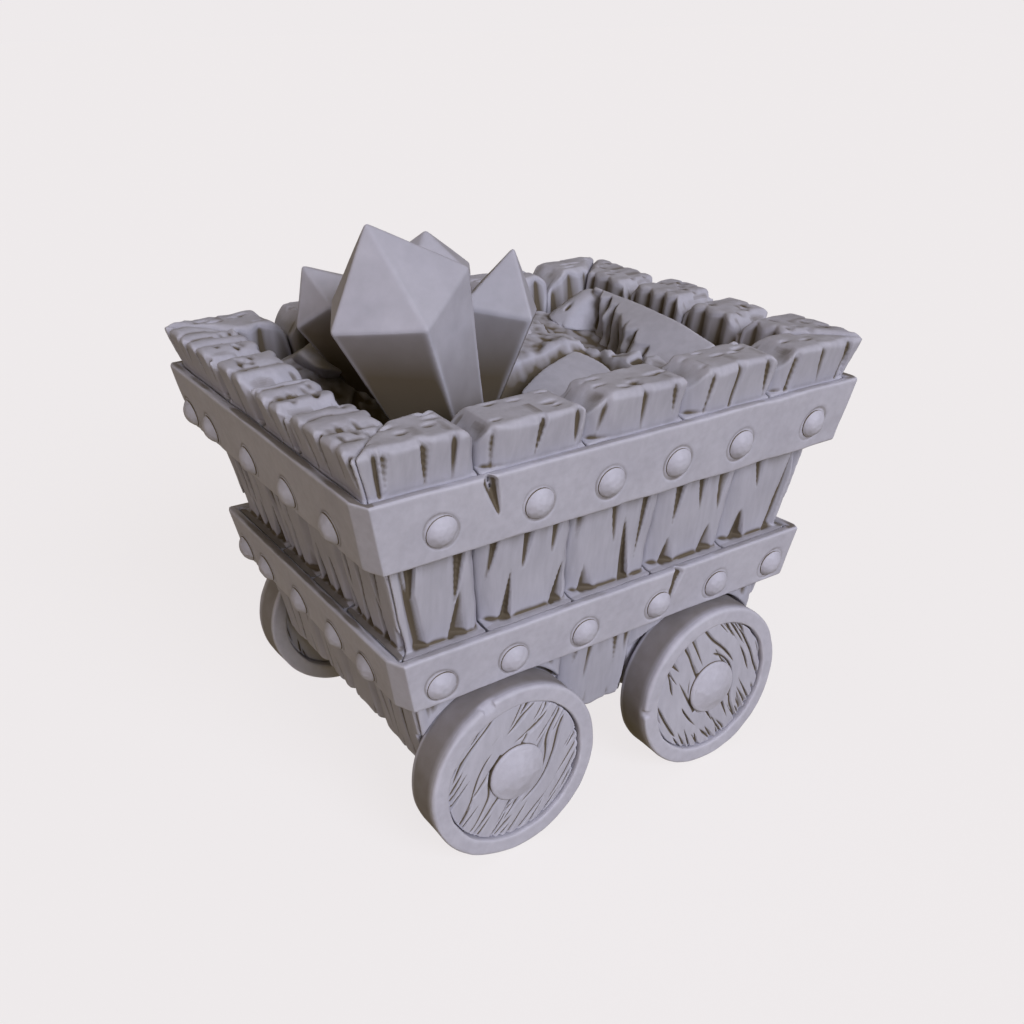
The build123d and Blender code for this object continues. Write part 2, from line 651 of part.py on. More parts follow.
def heap():
    """Bed of broken ore that fills the tub: a rough top inside the sloping walls."""
    columns, rows = HEAP_CELLS

    def top(i, j):
        u = 2 * i / columns - 1
        v = 2 * j / rows - 1
        inset = WALL + LOAD_PLAY
        z = heap_height(u * (half_length(HEAP_Z) - inset), v * (half_width(HEAP_Z) - inset))
        return Vector(u * (half_length(z) - inset), v * (half_width(z) - inset), z)

    faces = []
    for i in range(columns):
        for j in range(rows):
            a, b, c, d = top(i, j), top(i + 1, j), top(i + 1, j + 1), top(i, j + 1)
            faces.append(Face(Wire.make_polygon([a, b, c])))
            faces.append(Face(Wire.make_polygon([a, c, d])))
    base = [Vector(*point) for point in tub_ring(FLOOR_TOP + LOAD_PLAY / 2, WALL + LOAD_PLAY)]
    faces.append(Face(Wire.make_polygon(base)))
    edges = [
        [top(i, 0) for i in range(columns + 1)],
        [top(columns, j) for j in range(rows + 1)],
        [top(i, rows) for i in range(columns, -1, -1)],
        [top(0, j) for j in range(rows, -1, -1)],
    ]
    for number, edge in enumerate(edges):
        faces.append(Face(Wire.make_polygon([base[(number + 1) % 4], base[number], *edge])))
    return outward(Solid(Shell(faces)))


def largest(shape):
    """The biggest solid of a shape that a cut has split."""
    return max(shape.solids(), key=lambda solid: solid.volume)


def write_load():
    """Crystals, rocks and the heap, each cut to sit around those before it."""
    placed = []
    for node, values in CRYSTALS.items():
        piece = crystal_solid(crystal(*values))
        placed.append((node, largest(piece - [other for _, other in placed]) if placed else piece))
    for node, points in ROCKS.items():
        placed.append((node, largest(hull_solid(points) - [other for _, other in placed])))
    placed.append(("ore_heap", largest(heap() - [other for _, other in placed])))
    for node, piece in placed:
        if node not in LOOSE_ROCKS:
            write(node, piece)
    write("loose_rocks", [piece for node, piece in placed if node in LOOSE_ROCKS])


def main():
    os.makedirs("parts", exist_ok=True)
    write_planks()
    write_hoops()
    write_underframe()
    write_wheels()
    write_load()


main()
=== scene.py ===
"""Looks of the mine cart: carved timbers, hammered iron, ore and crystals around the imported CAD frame."""

from functools import partial, reduce
from math import cos, hypot, pi, radians, sin, sqrt

import bmesh
import bpy
import numpy as np
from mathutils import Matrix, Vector
from mathutils.bvhtree import BVHTree


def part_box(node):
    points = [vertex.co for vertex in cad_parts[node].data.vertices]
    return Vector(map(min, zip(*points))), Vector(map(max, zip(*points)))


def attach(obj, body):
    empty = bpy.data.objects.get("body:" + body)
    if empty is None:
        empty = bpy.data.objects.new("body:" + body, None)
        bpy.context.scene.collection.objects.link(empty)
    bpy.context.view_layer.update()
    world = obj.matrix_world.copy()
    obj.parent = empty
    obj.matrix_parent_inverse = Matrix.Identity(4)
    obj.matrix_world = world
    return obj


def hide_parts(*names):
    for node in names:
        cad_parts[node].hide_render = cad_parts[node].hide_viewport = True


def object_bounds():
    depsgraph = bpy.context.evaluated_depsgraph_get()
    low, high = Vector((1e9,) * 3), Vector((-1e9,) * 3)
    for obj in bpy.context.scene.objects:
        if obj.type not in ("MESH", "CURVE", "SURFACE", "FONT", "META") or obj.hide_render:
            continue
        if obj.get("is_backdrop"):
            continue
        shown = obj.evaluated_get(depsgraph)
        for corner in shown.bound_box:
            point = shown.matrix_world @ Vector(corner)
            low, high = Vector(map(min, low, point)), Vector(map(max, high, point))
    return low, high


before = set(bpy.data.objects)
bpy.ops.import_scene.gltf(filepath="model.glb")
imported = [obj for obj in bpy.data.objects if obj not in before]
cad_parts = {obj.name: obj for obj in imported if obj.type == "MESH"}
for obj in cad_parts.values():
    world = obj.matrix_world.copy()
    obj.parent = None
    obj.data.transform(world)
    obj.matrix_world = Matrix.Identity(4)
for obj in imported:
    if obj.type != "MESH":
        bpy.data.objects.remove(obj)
CAD_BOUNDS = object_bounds()

# ---- sizes, in metres, from the frame ----
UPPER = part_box("upper_band")
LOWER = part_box("lower_band")
RIM_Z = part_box("front_plank_1")[1].z
SKIRT_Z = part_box("front_plank_3")[0].z
BAND = 0.023                    # thickness of a hoop
BAND_EDGE = 0.004               # bevel along a hoop's edges in the CAD
END_SLOPE = (UPPER[1].x - LOWER[1].x) / (UPPER[1].z - LOWER[1].z)
SIDE_SLOPE = (UPPER[1].y - LOWER[1].y) / (UPPER[1].z - LOWER[1].z)
HALF_LENGTH = UPPER[1].x - BAND + END_SLOPE * (RIM_Z - UPPER[1].z + BAND_EDGE)
HALF_WIDTH = UPPER[1].y - BAND + SIDE_SLOPE * (RIM_Z - UPPER[1].z + BAND_EDGE)
WALL = 0.120                    # thickness of a wall plank
PLANK_GAP = 0.004
MITRE_GAP = 0.0010

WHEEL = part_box("front_left_tyre")
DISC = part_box("front_left_disc")
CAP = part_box("front_left_hub_cap")
WHEEL_X = abs(WHEEL[0].x + WHEEL[1].x) / 2
WHEEL_RADIUS = WHEEL[1].z / 2
WHEEL_FACE = abs(WHEEL[0].y)
TREAD = WHEEL[1].y - WHEEL[0].y
WHEEL_BACK = WHEEL_FACE - TREAD
DISC_RADIUS = (DISC[1].z - DISC[0].z) / 2
DISC_FACE = abs(DISC[0].y) - WHEEL_BACK         # this and the next two from the wheel's back
DISC_BACK = abs(DISC[1].y) - WHEEL_BACK
CAP_TOP = abs(CAP[0].y) - WHEEL_BACK
CAP_RADIUS = (CAP[1].z - CAP[0].z) / 2
STUB_HOLE = 0.0205              # radius of the disc's hole for the bush
ARCH_RADIUS = 0.206             # housing cut in the planks round a wheel
ARCH_FACE = WHEEL_BACK - 0.012
AXLE_SLOT = 0.027               # half width of the slot for the axle

DOME_RADIUS = 0.034
DOME_HEIGHT = 0.017
VOXEL = 0.0030        # step of the grids in which pieces are carved


def half_length(z):
    """Half length of the tub's outside at height z."""
    return HALF_LENGTH - END_SLOPE * (RIM_Z - z)


def half_width(z):
    """Half width of the tub's outside at height z."""
    return HALF_WIDTH - SIDE_SLOPE * (RIM_Z - z)


# ---- carving tools ----

def node_points(node):
    """Corners of a CAD node's mesh."""
    return np.array([v.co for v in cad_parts[node].data.vertices])


def smooth_max(a, b, k):
    """Larger of two fields, with a round of size k where they meet."""
    gap = np.maximum(k - np.abs(a - b), 0)
    return np.maximum(a, b) + gap * gap / (4 * k)


def smooth_min(a, b, k):
    """Smaller of two fields, with a fillet of size k where they meet."""
    return -smooth_max(-a, -b, k)


def lattice_noise(rng, coords, size, octaves=1):
    """Smooth noise in -1..1 over broadcastable coordinate arrays, for one, two or three of them."""
    total = 0.0
    for octave in range(octaves):
        scale = 2.0 ** octave
        table = rng.uniform(-1, 1, 4096).astype(np.float32)
        cells, parts = [], []
        for axis, c in enumerate(coords):
            p = np.asarray(c, np.float32) / size * scale + 17.3 * (axis + 1)
            low = np.floor(p)
            t = p - low
            cells.append(low.astype(np.int64))
            parts.append(t * t * (3 - 2 * t))
        value = 0.0
        for corner in range(2 ** len(coords)):
            key = 0
            weight = 1.0
            for axis, (cell, t) in enumerate(zip(cells, parts)):
                bit = corner >> axis & 1
                key = key + (cell + bit) * (73, 1319, 947)[axis]
                weight = weight * (t if bit else 1 - t)
            value = value + table[key % 4096] * weight
        total = total + value / scale
    return total


def rough(rng, coords, depth, size, octaves=1):
    """Uneven depth that a worn surface has lost, from 0 to twice the given one."""
    return depth * (1 + lattice_noise(rng, coords, size, octaves))


def groove(u, v, start, end, width, depth, taper=0.8, lean=0.0, hatch=0.0, mouth=1.0):
    """Wedge-shaped cut from start to end on a surface (u, v): wide at its start, a point at its end.

    lean moves its bottom to one side, hatch adds short scratches in it, and a mouth below 1 draws
    it in again at its start, like a leaf.
    """
    du, dv = end[0] - start[0], end[1] - start[1]
    length = hypot(du, dv)
    along = ((u - start[0]) * du + (v - start[1]) * dv) / length ** 2
    beside = ((u - start[0]) * dv - (v - start[1]) * du) / length
    size = np.clip(1 - np.maximum(along, 0), 0, 1) ** taper * (along > -0.4)
    size = size * np.clip(mouth + 3 * along, min(mouth, 0.9), 1)
    s = beside / np.maximum(width / 2 * size, 1e-5)
    profile = np.clip(np.minimum((s + 1) / (1 + lean), (1 - s) / (1 - lean)), 0, 1) ** 0.65
    scratch = hatch * np.sin(2 * pi * (along * length + beside * 0.7) / 0.013)
    return depth * np.minimum(size * 1.3, 1) * profile + scratch * profile


def box_blur(values, reach):
    """Running mean over a cube of 2 * reach + 1 cells, edges repeated."""
    width = 2 * reach + 1
    for axis in range(3):
        pad = [(reach + 1, reach) if k == axis else (0, 0) for k in range(3)]
        total = np.cumsum(np.pad(values, pad, mode="edge"), axis=axis, dtype=np.float32)
        total = np.moveaxis(total, axis, 0)
        values = np.moveaxis(total[width:] - total[:-width], 0, axis) / width
    return values


def hollowness(field, points, step, reach=0.008):
    """How enclosed each point is: 0 on a flat, up to 1 in a cut, down to -1 on a sharp edge."""
    solid = np.clip(0.5 - field / step, 0, 1).astype(np.float32)
    cells = max(1, round(reach / step))
    return np.clip((sample(box_blur(solid, cells), points) - 0.5) * 4, -1, 1)


def surface_net(field):
    """Quad mesh of a field's zero surface, in grid units; it goes on across the grid's ends."""
    inside = field < 0
    shape = np.array(field.shape)
    strides = np.array((shape[1] * shape[2], shape[2], 1))
    sums = np.zeros((4, field.size))
    crossings = []
    for axis in range(3):
        after = np.roll(field, -1, axis)
        at = np.nonzero(inside != (after < 0))
        a, b = field[at], after[at]
        first = np.stack(at, 1)
        point = first.astype(np.float64)
        point[:, axis] += a / (a - b)
        u, v = [other for other in range(3) if other != axis]
        ids = []
        for du, dv in ((0, 0), (-1, 0), (-1, -1), (0, -1)):
            cell = first.copy()
            cell[:, u] += du
            cell[:, v] += dv
            offset = point - cell
            column = (cell % shape) @ strides
            ids.append(column)
            sums[3] += np.bincount(column, minlength=field.size)
            for k in range(3):
                sums[k] += np.bincount(column, weights=offset[:, k], minlength=field.size)
        ids = np.stack(ids, 1)
        flip = (a > b) ^ (axis == 1)
        ids[flip] = ids[flip][:, ::-1]
        crossings.append(ids)
    used = np.nonzero(sums[3])[0]
    number = np.zeros(field.size, np.int64)
    number[used] = np.arange(len(used))
    corner = np.stack(np.unravel_index(used, field.shape), 1)
    return corner + (sums[:3, used] / sums[3, used]).T, number[np.concatenate(crossings)]


def sample(field, points):
    """Values of a grid field at points given in grid units."""
    low = np.clip(np.floor(points).astype(int), 0, np.array(field.shape) - 2)
    t = points - low
    value = 0
    for corner in range(8):
        bits = [corner >> axis & 1 for axis in range(3)]
        weight = np.prod([t[:, k] if bits[k] else 1 - t[:, k] for k in range(3)], axis=0)
        value = value + weight * field[low[:, 0] + bits[0], low[:, 1] + bits[1], low[:, 2] + bits[2]]
    return value


def connected(count, faces):
    """Label of the connected part that each point belongs to: the part's lowest point."""
    part = np.arange(count)
    while True:
        least = part[faces].min(1)
        joined = part.copy()
        for corner in faces.T:
            np.minimum.at(joined, part[corner], least)
        joined = joined[joined]
        if (joined == part).all():
            return part
        part = joined


def largest_part(points, quads, hollow):
    """Keeps a mesh's largest connected part, so that no crumb of a carved piece hangs in the air."""
    part = connected(len(points), quads)
    keep = part == np.bincount(part).argmax()
    number = np.cumsum(keep) - 1
    return points[keep], number[quads[keep[quads[:, 0]]]], hollow[keep]


class Block:
    """Grid over a box in which a piece is carved; its three axes broadcast against each other."""

    def __init__(self, low, high, step=VOXEL):
        self.step = step
        self.low = np.array(low, float) - 2.5 * step
        counts = np.ceil((np.array(high, float) - self.low) / step).astype(int) + 4
        self.axes = [self.low[k] + step * np.arange(counts[k]) for k in range(3)]
        x, y, z = (axis.astype(np.float32) for axis in self.axes)
        self.grid = x[:, None, None], y[None, :, None], z[None, None, :]

    def mesh(self, carved, reach=0.008):
        """Points in the block's own axes, quads, and how enclosed each point is."""
        carved = np.array(np.broadcast_to(carved, [len(axis) for axis in self.axes]))
        for axis in range(3):
            layers = np.moveaxis(carved, axis, 0)
            layers[[0, -1]] = np.maximum(layers[[0, -1]], self.step)
        points, quads = surface_net(carved)
        hollow = hollowness(carved, points, self.step, reach)
        return largest_part(self.low + points * self.step, quads, hollow)


class Ring:
    """Grid for a ring that is carved flat: distance round it, then two axes across it.

    Each of those two is given as (where it starts, number of cells).
    """

    def __init__(self, total, *across):
        self.count = round(total / VOXEL)
        self.low = np.array([0.0] + [start for start, _ in across])
        self.step = np.array([total / self.count, VOXEL, VOXEL])
        u, v, w = (low + step * np.arange(count) for low, step, count in
                   zip(self.low, self.step, [self.count] + [count for _, count in across]))
        self.u, self.v, self.w = u[:, None, None], v[None, :, None], w[None, None, :]
        radius = total / (2 * pi)
        self.round = np.cos(self.u / radius) * radius, np.sin(self.u / radius) * radius

    def mesh(self, carved):
        """Points in the ring's own axes, quads, how enclosed each point is, and each point's cell."""
        points, quads = surface_net(carved)
        hollow = hollowness(carved, points, VOXEL)
        cells = np.rint(points).astype(int) % (self.count, *carved.shape[1:])
        points[:, 0] %= self.count
        return self.low + points * self.step, quads, hollow, cells


def new_object(name, data):
    """Object in the scene for a mesh, a light or a camera."""
    thing = bpy.data.objects.new(name, data)
    bpy.context.scene.collection.objects.link(thing)
    return thing


def add_piece(name, parts, material, body, nodes, slot):
    """One object made of carved parts, each (points, quads, hollowness), standing for CAD nodes."""
    points = np.concatenate([part[0] for part in parts])
    values = np.concatenate([part[2] for part in parts])
    starts = np.cumsum([0] + [len(part[0]) for part in parts[:-1]])
    quads = np.concatenate([part[1] + start for part, start in zip(parts, starts)])
    mesh = bpy.data.meshes.new(name)
    mesh.vertices.add(len(points))
    mesh.vertices.foreach_set("co", points.astype(np.float32).ravel())
    mesh.loops.add(quads.size)
    mesh.loops.foreach_set("vertex_index", quads.astype(np.int32).ravel())
    mesh.polygons.add(len(quads))
    mesh.polygons.foreach_set("loop_start", np.arange(0, quads.size, 4, dtype=np.int32))
    mesh.update(calc_edges=True)
    mesh.validate()
    mesh.polygons.foreach_set("use_smooth", np.ones(len(mesh.polygons), bool))
    # The hollow attribute carries each point's painted shade (above 0) and pale edges (below 0), partly
    # wear and partly painted highlight, to the material.
    hollow = mesh.attributes.new("hollow", "FLOAT", "POINT")
    hollow.data.foreach_set("value", values.astype(np.float32))
    mesh.materials.append(material)
    piece = new_object(name, mesh)
    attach(piece, body)
    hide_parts(*nodes)


# ---- materials ----

class Nodes:
    """Small helper for building a node tree."""

    def __init__(self, tree):
        self.tree = tree

    def add(self, kind, **values):
        """Shader node with its own settings or, where it has none of that name, its sockets set."""
        node = self.tree.nodes.new("ShaderNode" + kind)
        for key, value in values.items():
            if hasattr(node, key):
                setattr(node, key, value)
            else:
                node.inputs[key.replace("_", " ")].default_value = value
        return node

    def link(self, source, node, socket):
        self.tree.links.new(source, node.inputs[socket])

    def noise(self, scale, detail, stretch=(1, 1, 1)):
        """Noise in object space; stretch scales each axis."""
        mapping = self.add("Mapping", Scale=stretch)
        self.link(self.add("TexCoord").outputs["Object"], mapping, "Vector")
        noise = self.add("TexNoise", Scale=scale, Detail=detail, Roughness=0.55)
        self.link(mapping.outputs[0], noise, "Vector")
        return noise.outputs["Fac"]

    def ramp(self, source, low, high):
        """Colour ramp between two colours over the middle of a noise's range."""
        ramp = self.add("ValToRGB")
        for element, position, colour in zip(ramp.color_ramp.elements, (0.3, 0.7), (low, high)):
            element.position = position
            element.color = (*colour, 1)
        self.link(source, ramp, "Fac")
        return ramp.outputs["Color"]

    def mix(self, fac, a, b, blend="MIX"):
        """Mixed colour of two sockets or colours."""
        mix = self.add("Mix", data_type="RGBA", blend_type=blend)
        for socket, value in ((0, fac), (6, a), (7, b)):
            if isinstance(value, (int, float)):
                mix.inputs[socket].default_value = value
            elif isinstance(value, tuple):
                mix.inputs[socket].default_value = (*value, 1)
            else:
                self.link(value, mix, socket)
        return mix.outputs[2]


def new_material(name):
    """Material with its nodes and its Principled shader."""
    material = bpy.data.materials.new(name)
    material.use_nodes = True
    nodes = Nodes(material.node_tree)
    return material, nodes, nodes.tree.nodes["Principled BSDF"]


STONE_GREY = (0.455, 0.440, 0.500)
DUST = (0.505, 0.490, 0.550)
# Warm dark colour of the painted shade.
PAINTED_SHADE = (0.130, 0.102, 0.068)
# Pale edge colour: partly wear, partly painted highlight.
WEAR_AND_HIGHLIGHT = (0.600, 0.585, 0.640)


def carved_material(name, grain, grain_scale, bump, tint=1.0, worn=0.5, roughness=0.72):
    """Matt carved surface: mottled grey, with a warm dark painted shade in its cuts and wherever the hollow
    attribute adds painted shade, and pale edges that are partly wear and partly painted highlight.
    """
    material, n, shader = new_material(name)
    shader.inputs["Specular IOR Level"].default_value = 0.3
    base, pale, shade_colour, edge = (tuple(c * tint for c in shade) for shade in (STONE_GREY, DUST, PAINTED_SHADE, WEAR_AND_HIGHLIGHT))
    colour = n.ramp(n.noise(9.0, 4.0), base, pale)
    fine = n.noise(grain_scale, 5.0, grain)
    colour = n.mix(1.0, colour, n.ramp(fine, (0.92, 0.92, 0.92), (1.04, 1.04, 1.04)), "MULTIPLY")
    hollow = n.add("Attribute", attribute_name="hollow").outputs["Fac"]
    # Painted shade where hollow is high; pale edges, partly wear and partly painted highlight, where it is
    # low.
    for start, end, strength, shade in ((0.04, 0.42, 1.0, shade_colour), (-0.20, -1.0, worn, edge)):
        reach = n.add("MapRange", From_Min=start, From_Max=end, To_Max=strength)
        n.link(hollow, reach, "Value")
        colour = n.mix(reach.outputs[0], colour, shade)
    n.link(colour, shader, "Base Color")
    matt = n.add("MapRange", To_Min=roughness - 0.08, To_Max=roughness + 0.08)
    n.link(fine, matt, "Value")
    n.link(matt.outputs[0], shader, "Roughness")
    relief = n.add("Bump", Strength=bump, Distance=0.002)
    n.link(fine, relief, "Height")
    n.link(relief.outputs[0], shader, "Normal")
    return material


def make_materials():
    """All finishes by name."""
    return {
        "wall_timber": carved_material("wall_timber", (6, 6, 0.6), 14, 0.35, tint=0.90),
        "wheel_timber": carved_material("wheel_timber", (4, 1, 1.2), 18, 0.35, tint=0.96),
        "floor_timber": carved_material("floor_timber", (6, 0.6, 6), 14, 0.5, tint=0.92),
        "iron": carved_material("iron", (1, 1, 1), 60, 0.22, tint=1.02, worn=0.35, roughness=0.62),
        "spike_iron": carved_material("spike_iron", (1, 1, 1), 80, 0.20, tint=1.06, roughness=0.58),
        "steel": carved_material("steel", (1, 8, 1), 40, 0.25, tint=0.85, roughness=0.5),
        "bronze": carved_material("bronze", (1, 1, 1), 70, 0.2, tint=0.80, roughness=0.5),
        "crystal": carved_material("crystal", (1, 1, 1), 25, 0.10, tint=0.93, worn=0.3, roughness=0.55),
        "ore": carved_material("ore", (1, 1, 1), 45, 0.45, tint=0.93, roughness=0.8),
    }


# ---- planks ----

FLARE = 0.011                   # how far the planks stand out at the rim
RECESS = 0.015                  # how far they stand back between the hoops
LEDGE = 0.005                   # where that step lies, from a hoop's edge
FLUTE = 0.052                   # width of the flutes inside the tub
FLUTE_DEPTH = 0.010
CUT_FULLY_SHADED = 0.055        # depth of a cut that gets the full painted shade
UNDER_HOOP = 0.06               # how far the painted shadow under a hoop reaches
SHADED_INSIDE = ((0.006, 0.02), (0.03, 0.10))    # painted shade inside: where it starts below the rim, its reach
SHOULDERS = (0.032, 0.020)      # what is worn off a plank's left and right shoulder
SHARP_SHOULDER = 0.006          # the same at a corner of the tub


def wall_to_frame(wall, points):
    """Moves points (along the wall, depth behind its face, height) into the frame."""
    along, depth, z = points.T
    if wall in ("front", "back"):
        y = half_width(z) - depth
        return np.stack([along, -y if wall == "front" else y, z], 1)
    x = half_length(z) - depth
    return np.stack([-x if wall == "left" else x, along, z], 1)


def outward_quads(wall, quads):
    """Turns quads over on the walls whose axes are mirrored."""
    return quads[:, ::-1] if wall in ("back", "left") else quads


def strokes(rng, low, high, z_start, z_end, spacing, length, width, depth):
    """Places for a row of wedge cuts that start at one height and point at another."""
    left, right = low(z_start), high(z_start)
    count = max(1, round((right - left) / spacing))
    rows = []
    for i in range(count):
        u0 = left + (right - left) * (i + rng.uniform(0.28, 0.72)) / count
        reach = (z_end - z_start) * rng.uniform(*length)
        u1 = u0 + rng.uniform(-0.15, 0.15) * abs(reach)
        rows.append(((u0, z_start), (u1, z_start + reach), rng.uniform(*width), rng.uniform(*depth),
                     rng.uniform(0.5, 0.9), rng.choice((-1, 1)) * rng.uniform(0.2, 0.6),
                     rng.choice((0.0, 0.0, 0.0010))))
    return rows


def wall_strokes(rng, low, high, top, long_wall):
    """Every wedge cut in a plank's outer face: above, between and below the hoops."""
    below, lower, upper, above = LOWER[0].z, LOWER[1].z, UPPER[0].z, UPPER[1].z
    # Start, height that it points to, spacing, how far it goes (1 is all the way), width, depth.
    rim = ((0.070, (0.8, 1.7), (0.018, 0.034), (0.008, 0.014)) if long_wall else
           (0.056, (0.7, 1.4), (0.020, 0.034), (0.010, 0.017)))
    spread = 0.085 if long_wall else 0.06
    kinds = ((top + 0.004, above, *rim),
             (upper + 0.02, lower, spread, (0.40, 0.9), (0.026, 0.052), (0.014, 0.024)),
             (lower - 0.02, upper, spread, (0.35, 0.8), (0.026, 0.052), (0.014, 0.024)),
             (below + 0.01, SKIRT_Z, 0.055, (0.5, 1.1), (0.018, 0.032), (0.008, 0.014)),
             (SKIRT_Z - 0.01, below, 0.07, (0.25, 0.7), (0.014, 0.026), (0.006, 0.011)))
    return [row for kind in kinds for row in strokes(rng, low, high, *kind)]


def within(z, low, high, fade=0.004):
    """1 between two heights and 0 outside them, fading just inside each."""
    return np.clip(((high - low) / 2 - np.abs(z - (high + low) / 2)) / fade, 0, 1)


def top_relief(rng, u, d, low, high, valleys):
    """Dips in a plank's top: oval pits, and valleys that run over from its face."""
    relief = rough(rng, (u, d), 0.0022, 0.05, 2)
    for centre in valleys:
        bend = centre + 0.010 * lattice_noise(rng, (d, d * 0), 0.05) + rng.uniform(-0.1, 0.1) * d
        wide = rng.uniform(0.012, 0.020)
        relief = relief + rng.uniform(0.006, 0.012) * np.exp(-np.abs((u - bend) / wide) ** 1.3)
    for _ in range(rng.integers(5, 9)):
        cu = rng.uniform(low + 0.03, high - 0.03)
        cd = rng.uniform(0.02, WALL - 0.02)
        su, sd = rng.uniform(0.010, 0.017), rng.uniform(0.005, 0.008)
        relief = relief + 0.0060 * np.exp(-(((u - cu) / su) ** 2 + ((d - cd) / sd) ** 2) ** 1.5)
    return relief


def plank_cuts(rows, u, z, joints, ends, top, long_wall):
    """Depth of all the cuts in a plank's outer face, shallower near a wheel's housing."""
    cut = np.zeros(np.broadcast(u, z).shape, np.float32)
    for row in rows:
        cut = smooth_max(cut, groove(u, z, *row), 0.002)
    if long_wall:
        cut = np.maximum(cut, corner_grooves(u, z, joints, ends, top))
        arch = np.sqrt((np.abs(u) - WHEEL_X) ** 2 + (z - WHEEL_RADIUS) ** 2) - ARCH_RADIUS
        cut = cut * np.clip(arch / 0.05, 0.1, 1)
    return cut


def corner_grooves(u, z, joints, ends, top):
    """Deep cuts that set off the corner posts, one over and one between the hoops."""
    cut = np.zeros(np.broadcast(u, z).shape, np.float32)
    # Start, end, width of the post that is left beside it, width, depth.
    places = ((top + 0.01, UPPER[1].z - 0.03, 0.022, 0.020, 0.012),
              (LOWER[1].z - 0.05, UPPER[0].z + 0.09, 0.034, 0.036, 0.016))
    for joint, edge, inward in zip(joints, ends, (1, -1)):
        if joint is not None:
            continue
        for z_start, z_end, post, width, depth in places:
            start = (edge(z_start) + inward * (post + width / 2), z_start)
            end = (edge(z_end) + inward * (post + width / 3), z_end)
            cut = np.maximum(cut, groove(u, z, start, end, width, depth, 0.4, -0.2 * inward))
    return cut


def plank_painted_shade(block, points, hollow, cut, long_wall):
    """Painted shade on a plank: in its cuts, on the ledge over the lower hoop, under the hoops, and inside,
    growing below the rim.
    """
    across, up = (np.rint((points[:, k] - block.low[k]) / block.step).astype(int) for k in (0, 2))
    depth, z = points[:, 1], points[:, 2]
    outside = depth < WALL / 2
    # Painted shade in the cuts, darker where they are deeper.
    hollow = 0.7 * hollow + outside * cut[across, 0, up] / CUT_FULLY_SHADED
    # Painted shade on the ledge over the lower hoop, darker on the end walls.
    ledge = (np.abs(z - LOWER[1].z) < 0.007) * (depth < RECESS)
    least = 0.12 if long_wall else 0.32
    hollow = np.where(ledge, np.clip(hollow, least, least + 0.10), hollow)
    # Painted shadow under each hoop.
    for hoop in (UPPER, LOWER):
        below = (hoop[0].z - z) / UNDER_HOOP
        hollow = hollow + outside * (below > 0) * 0.14 * np.clip(1 - below, 0, 1)
    # Painted shade inside the tub, growing below the rim.
    for start, reach in SHADED_INSIDE:
        hollow = hollow + (depth > WALL * 0.8) * 0.24 * np.clip((RIM_Z - start - z) / reach, 0, 1)
    return hollow


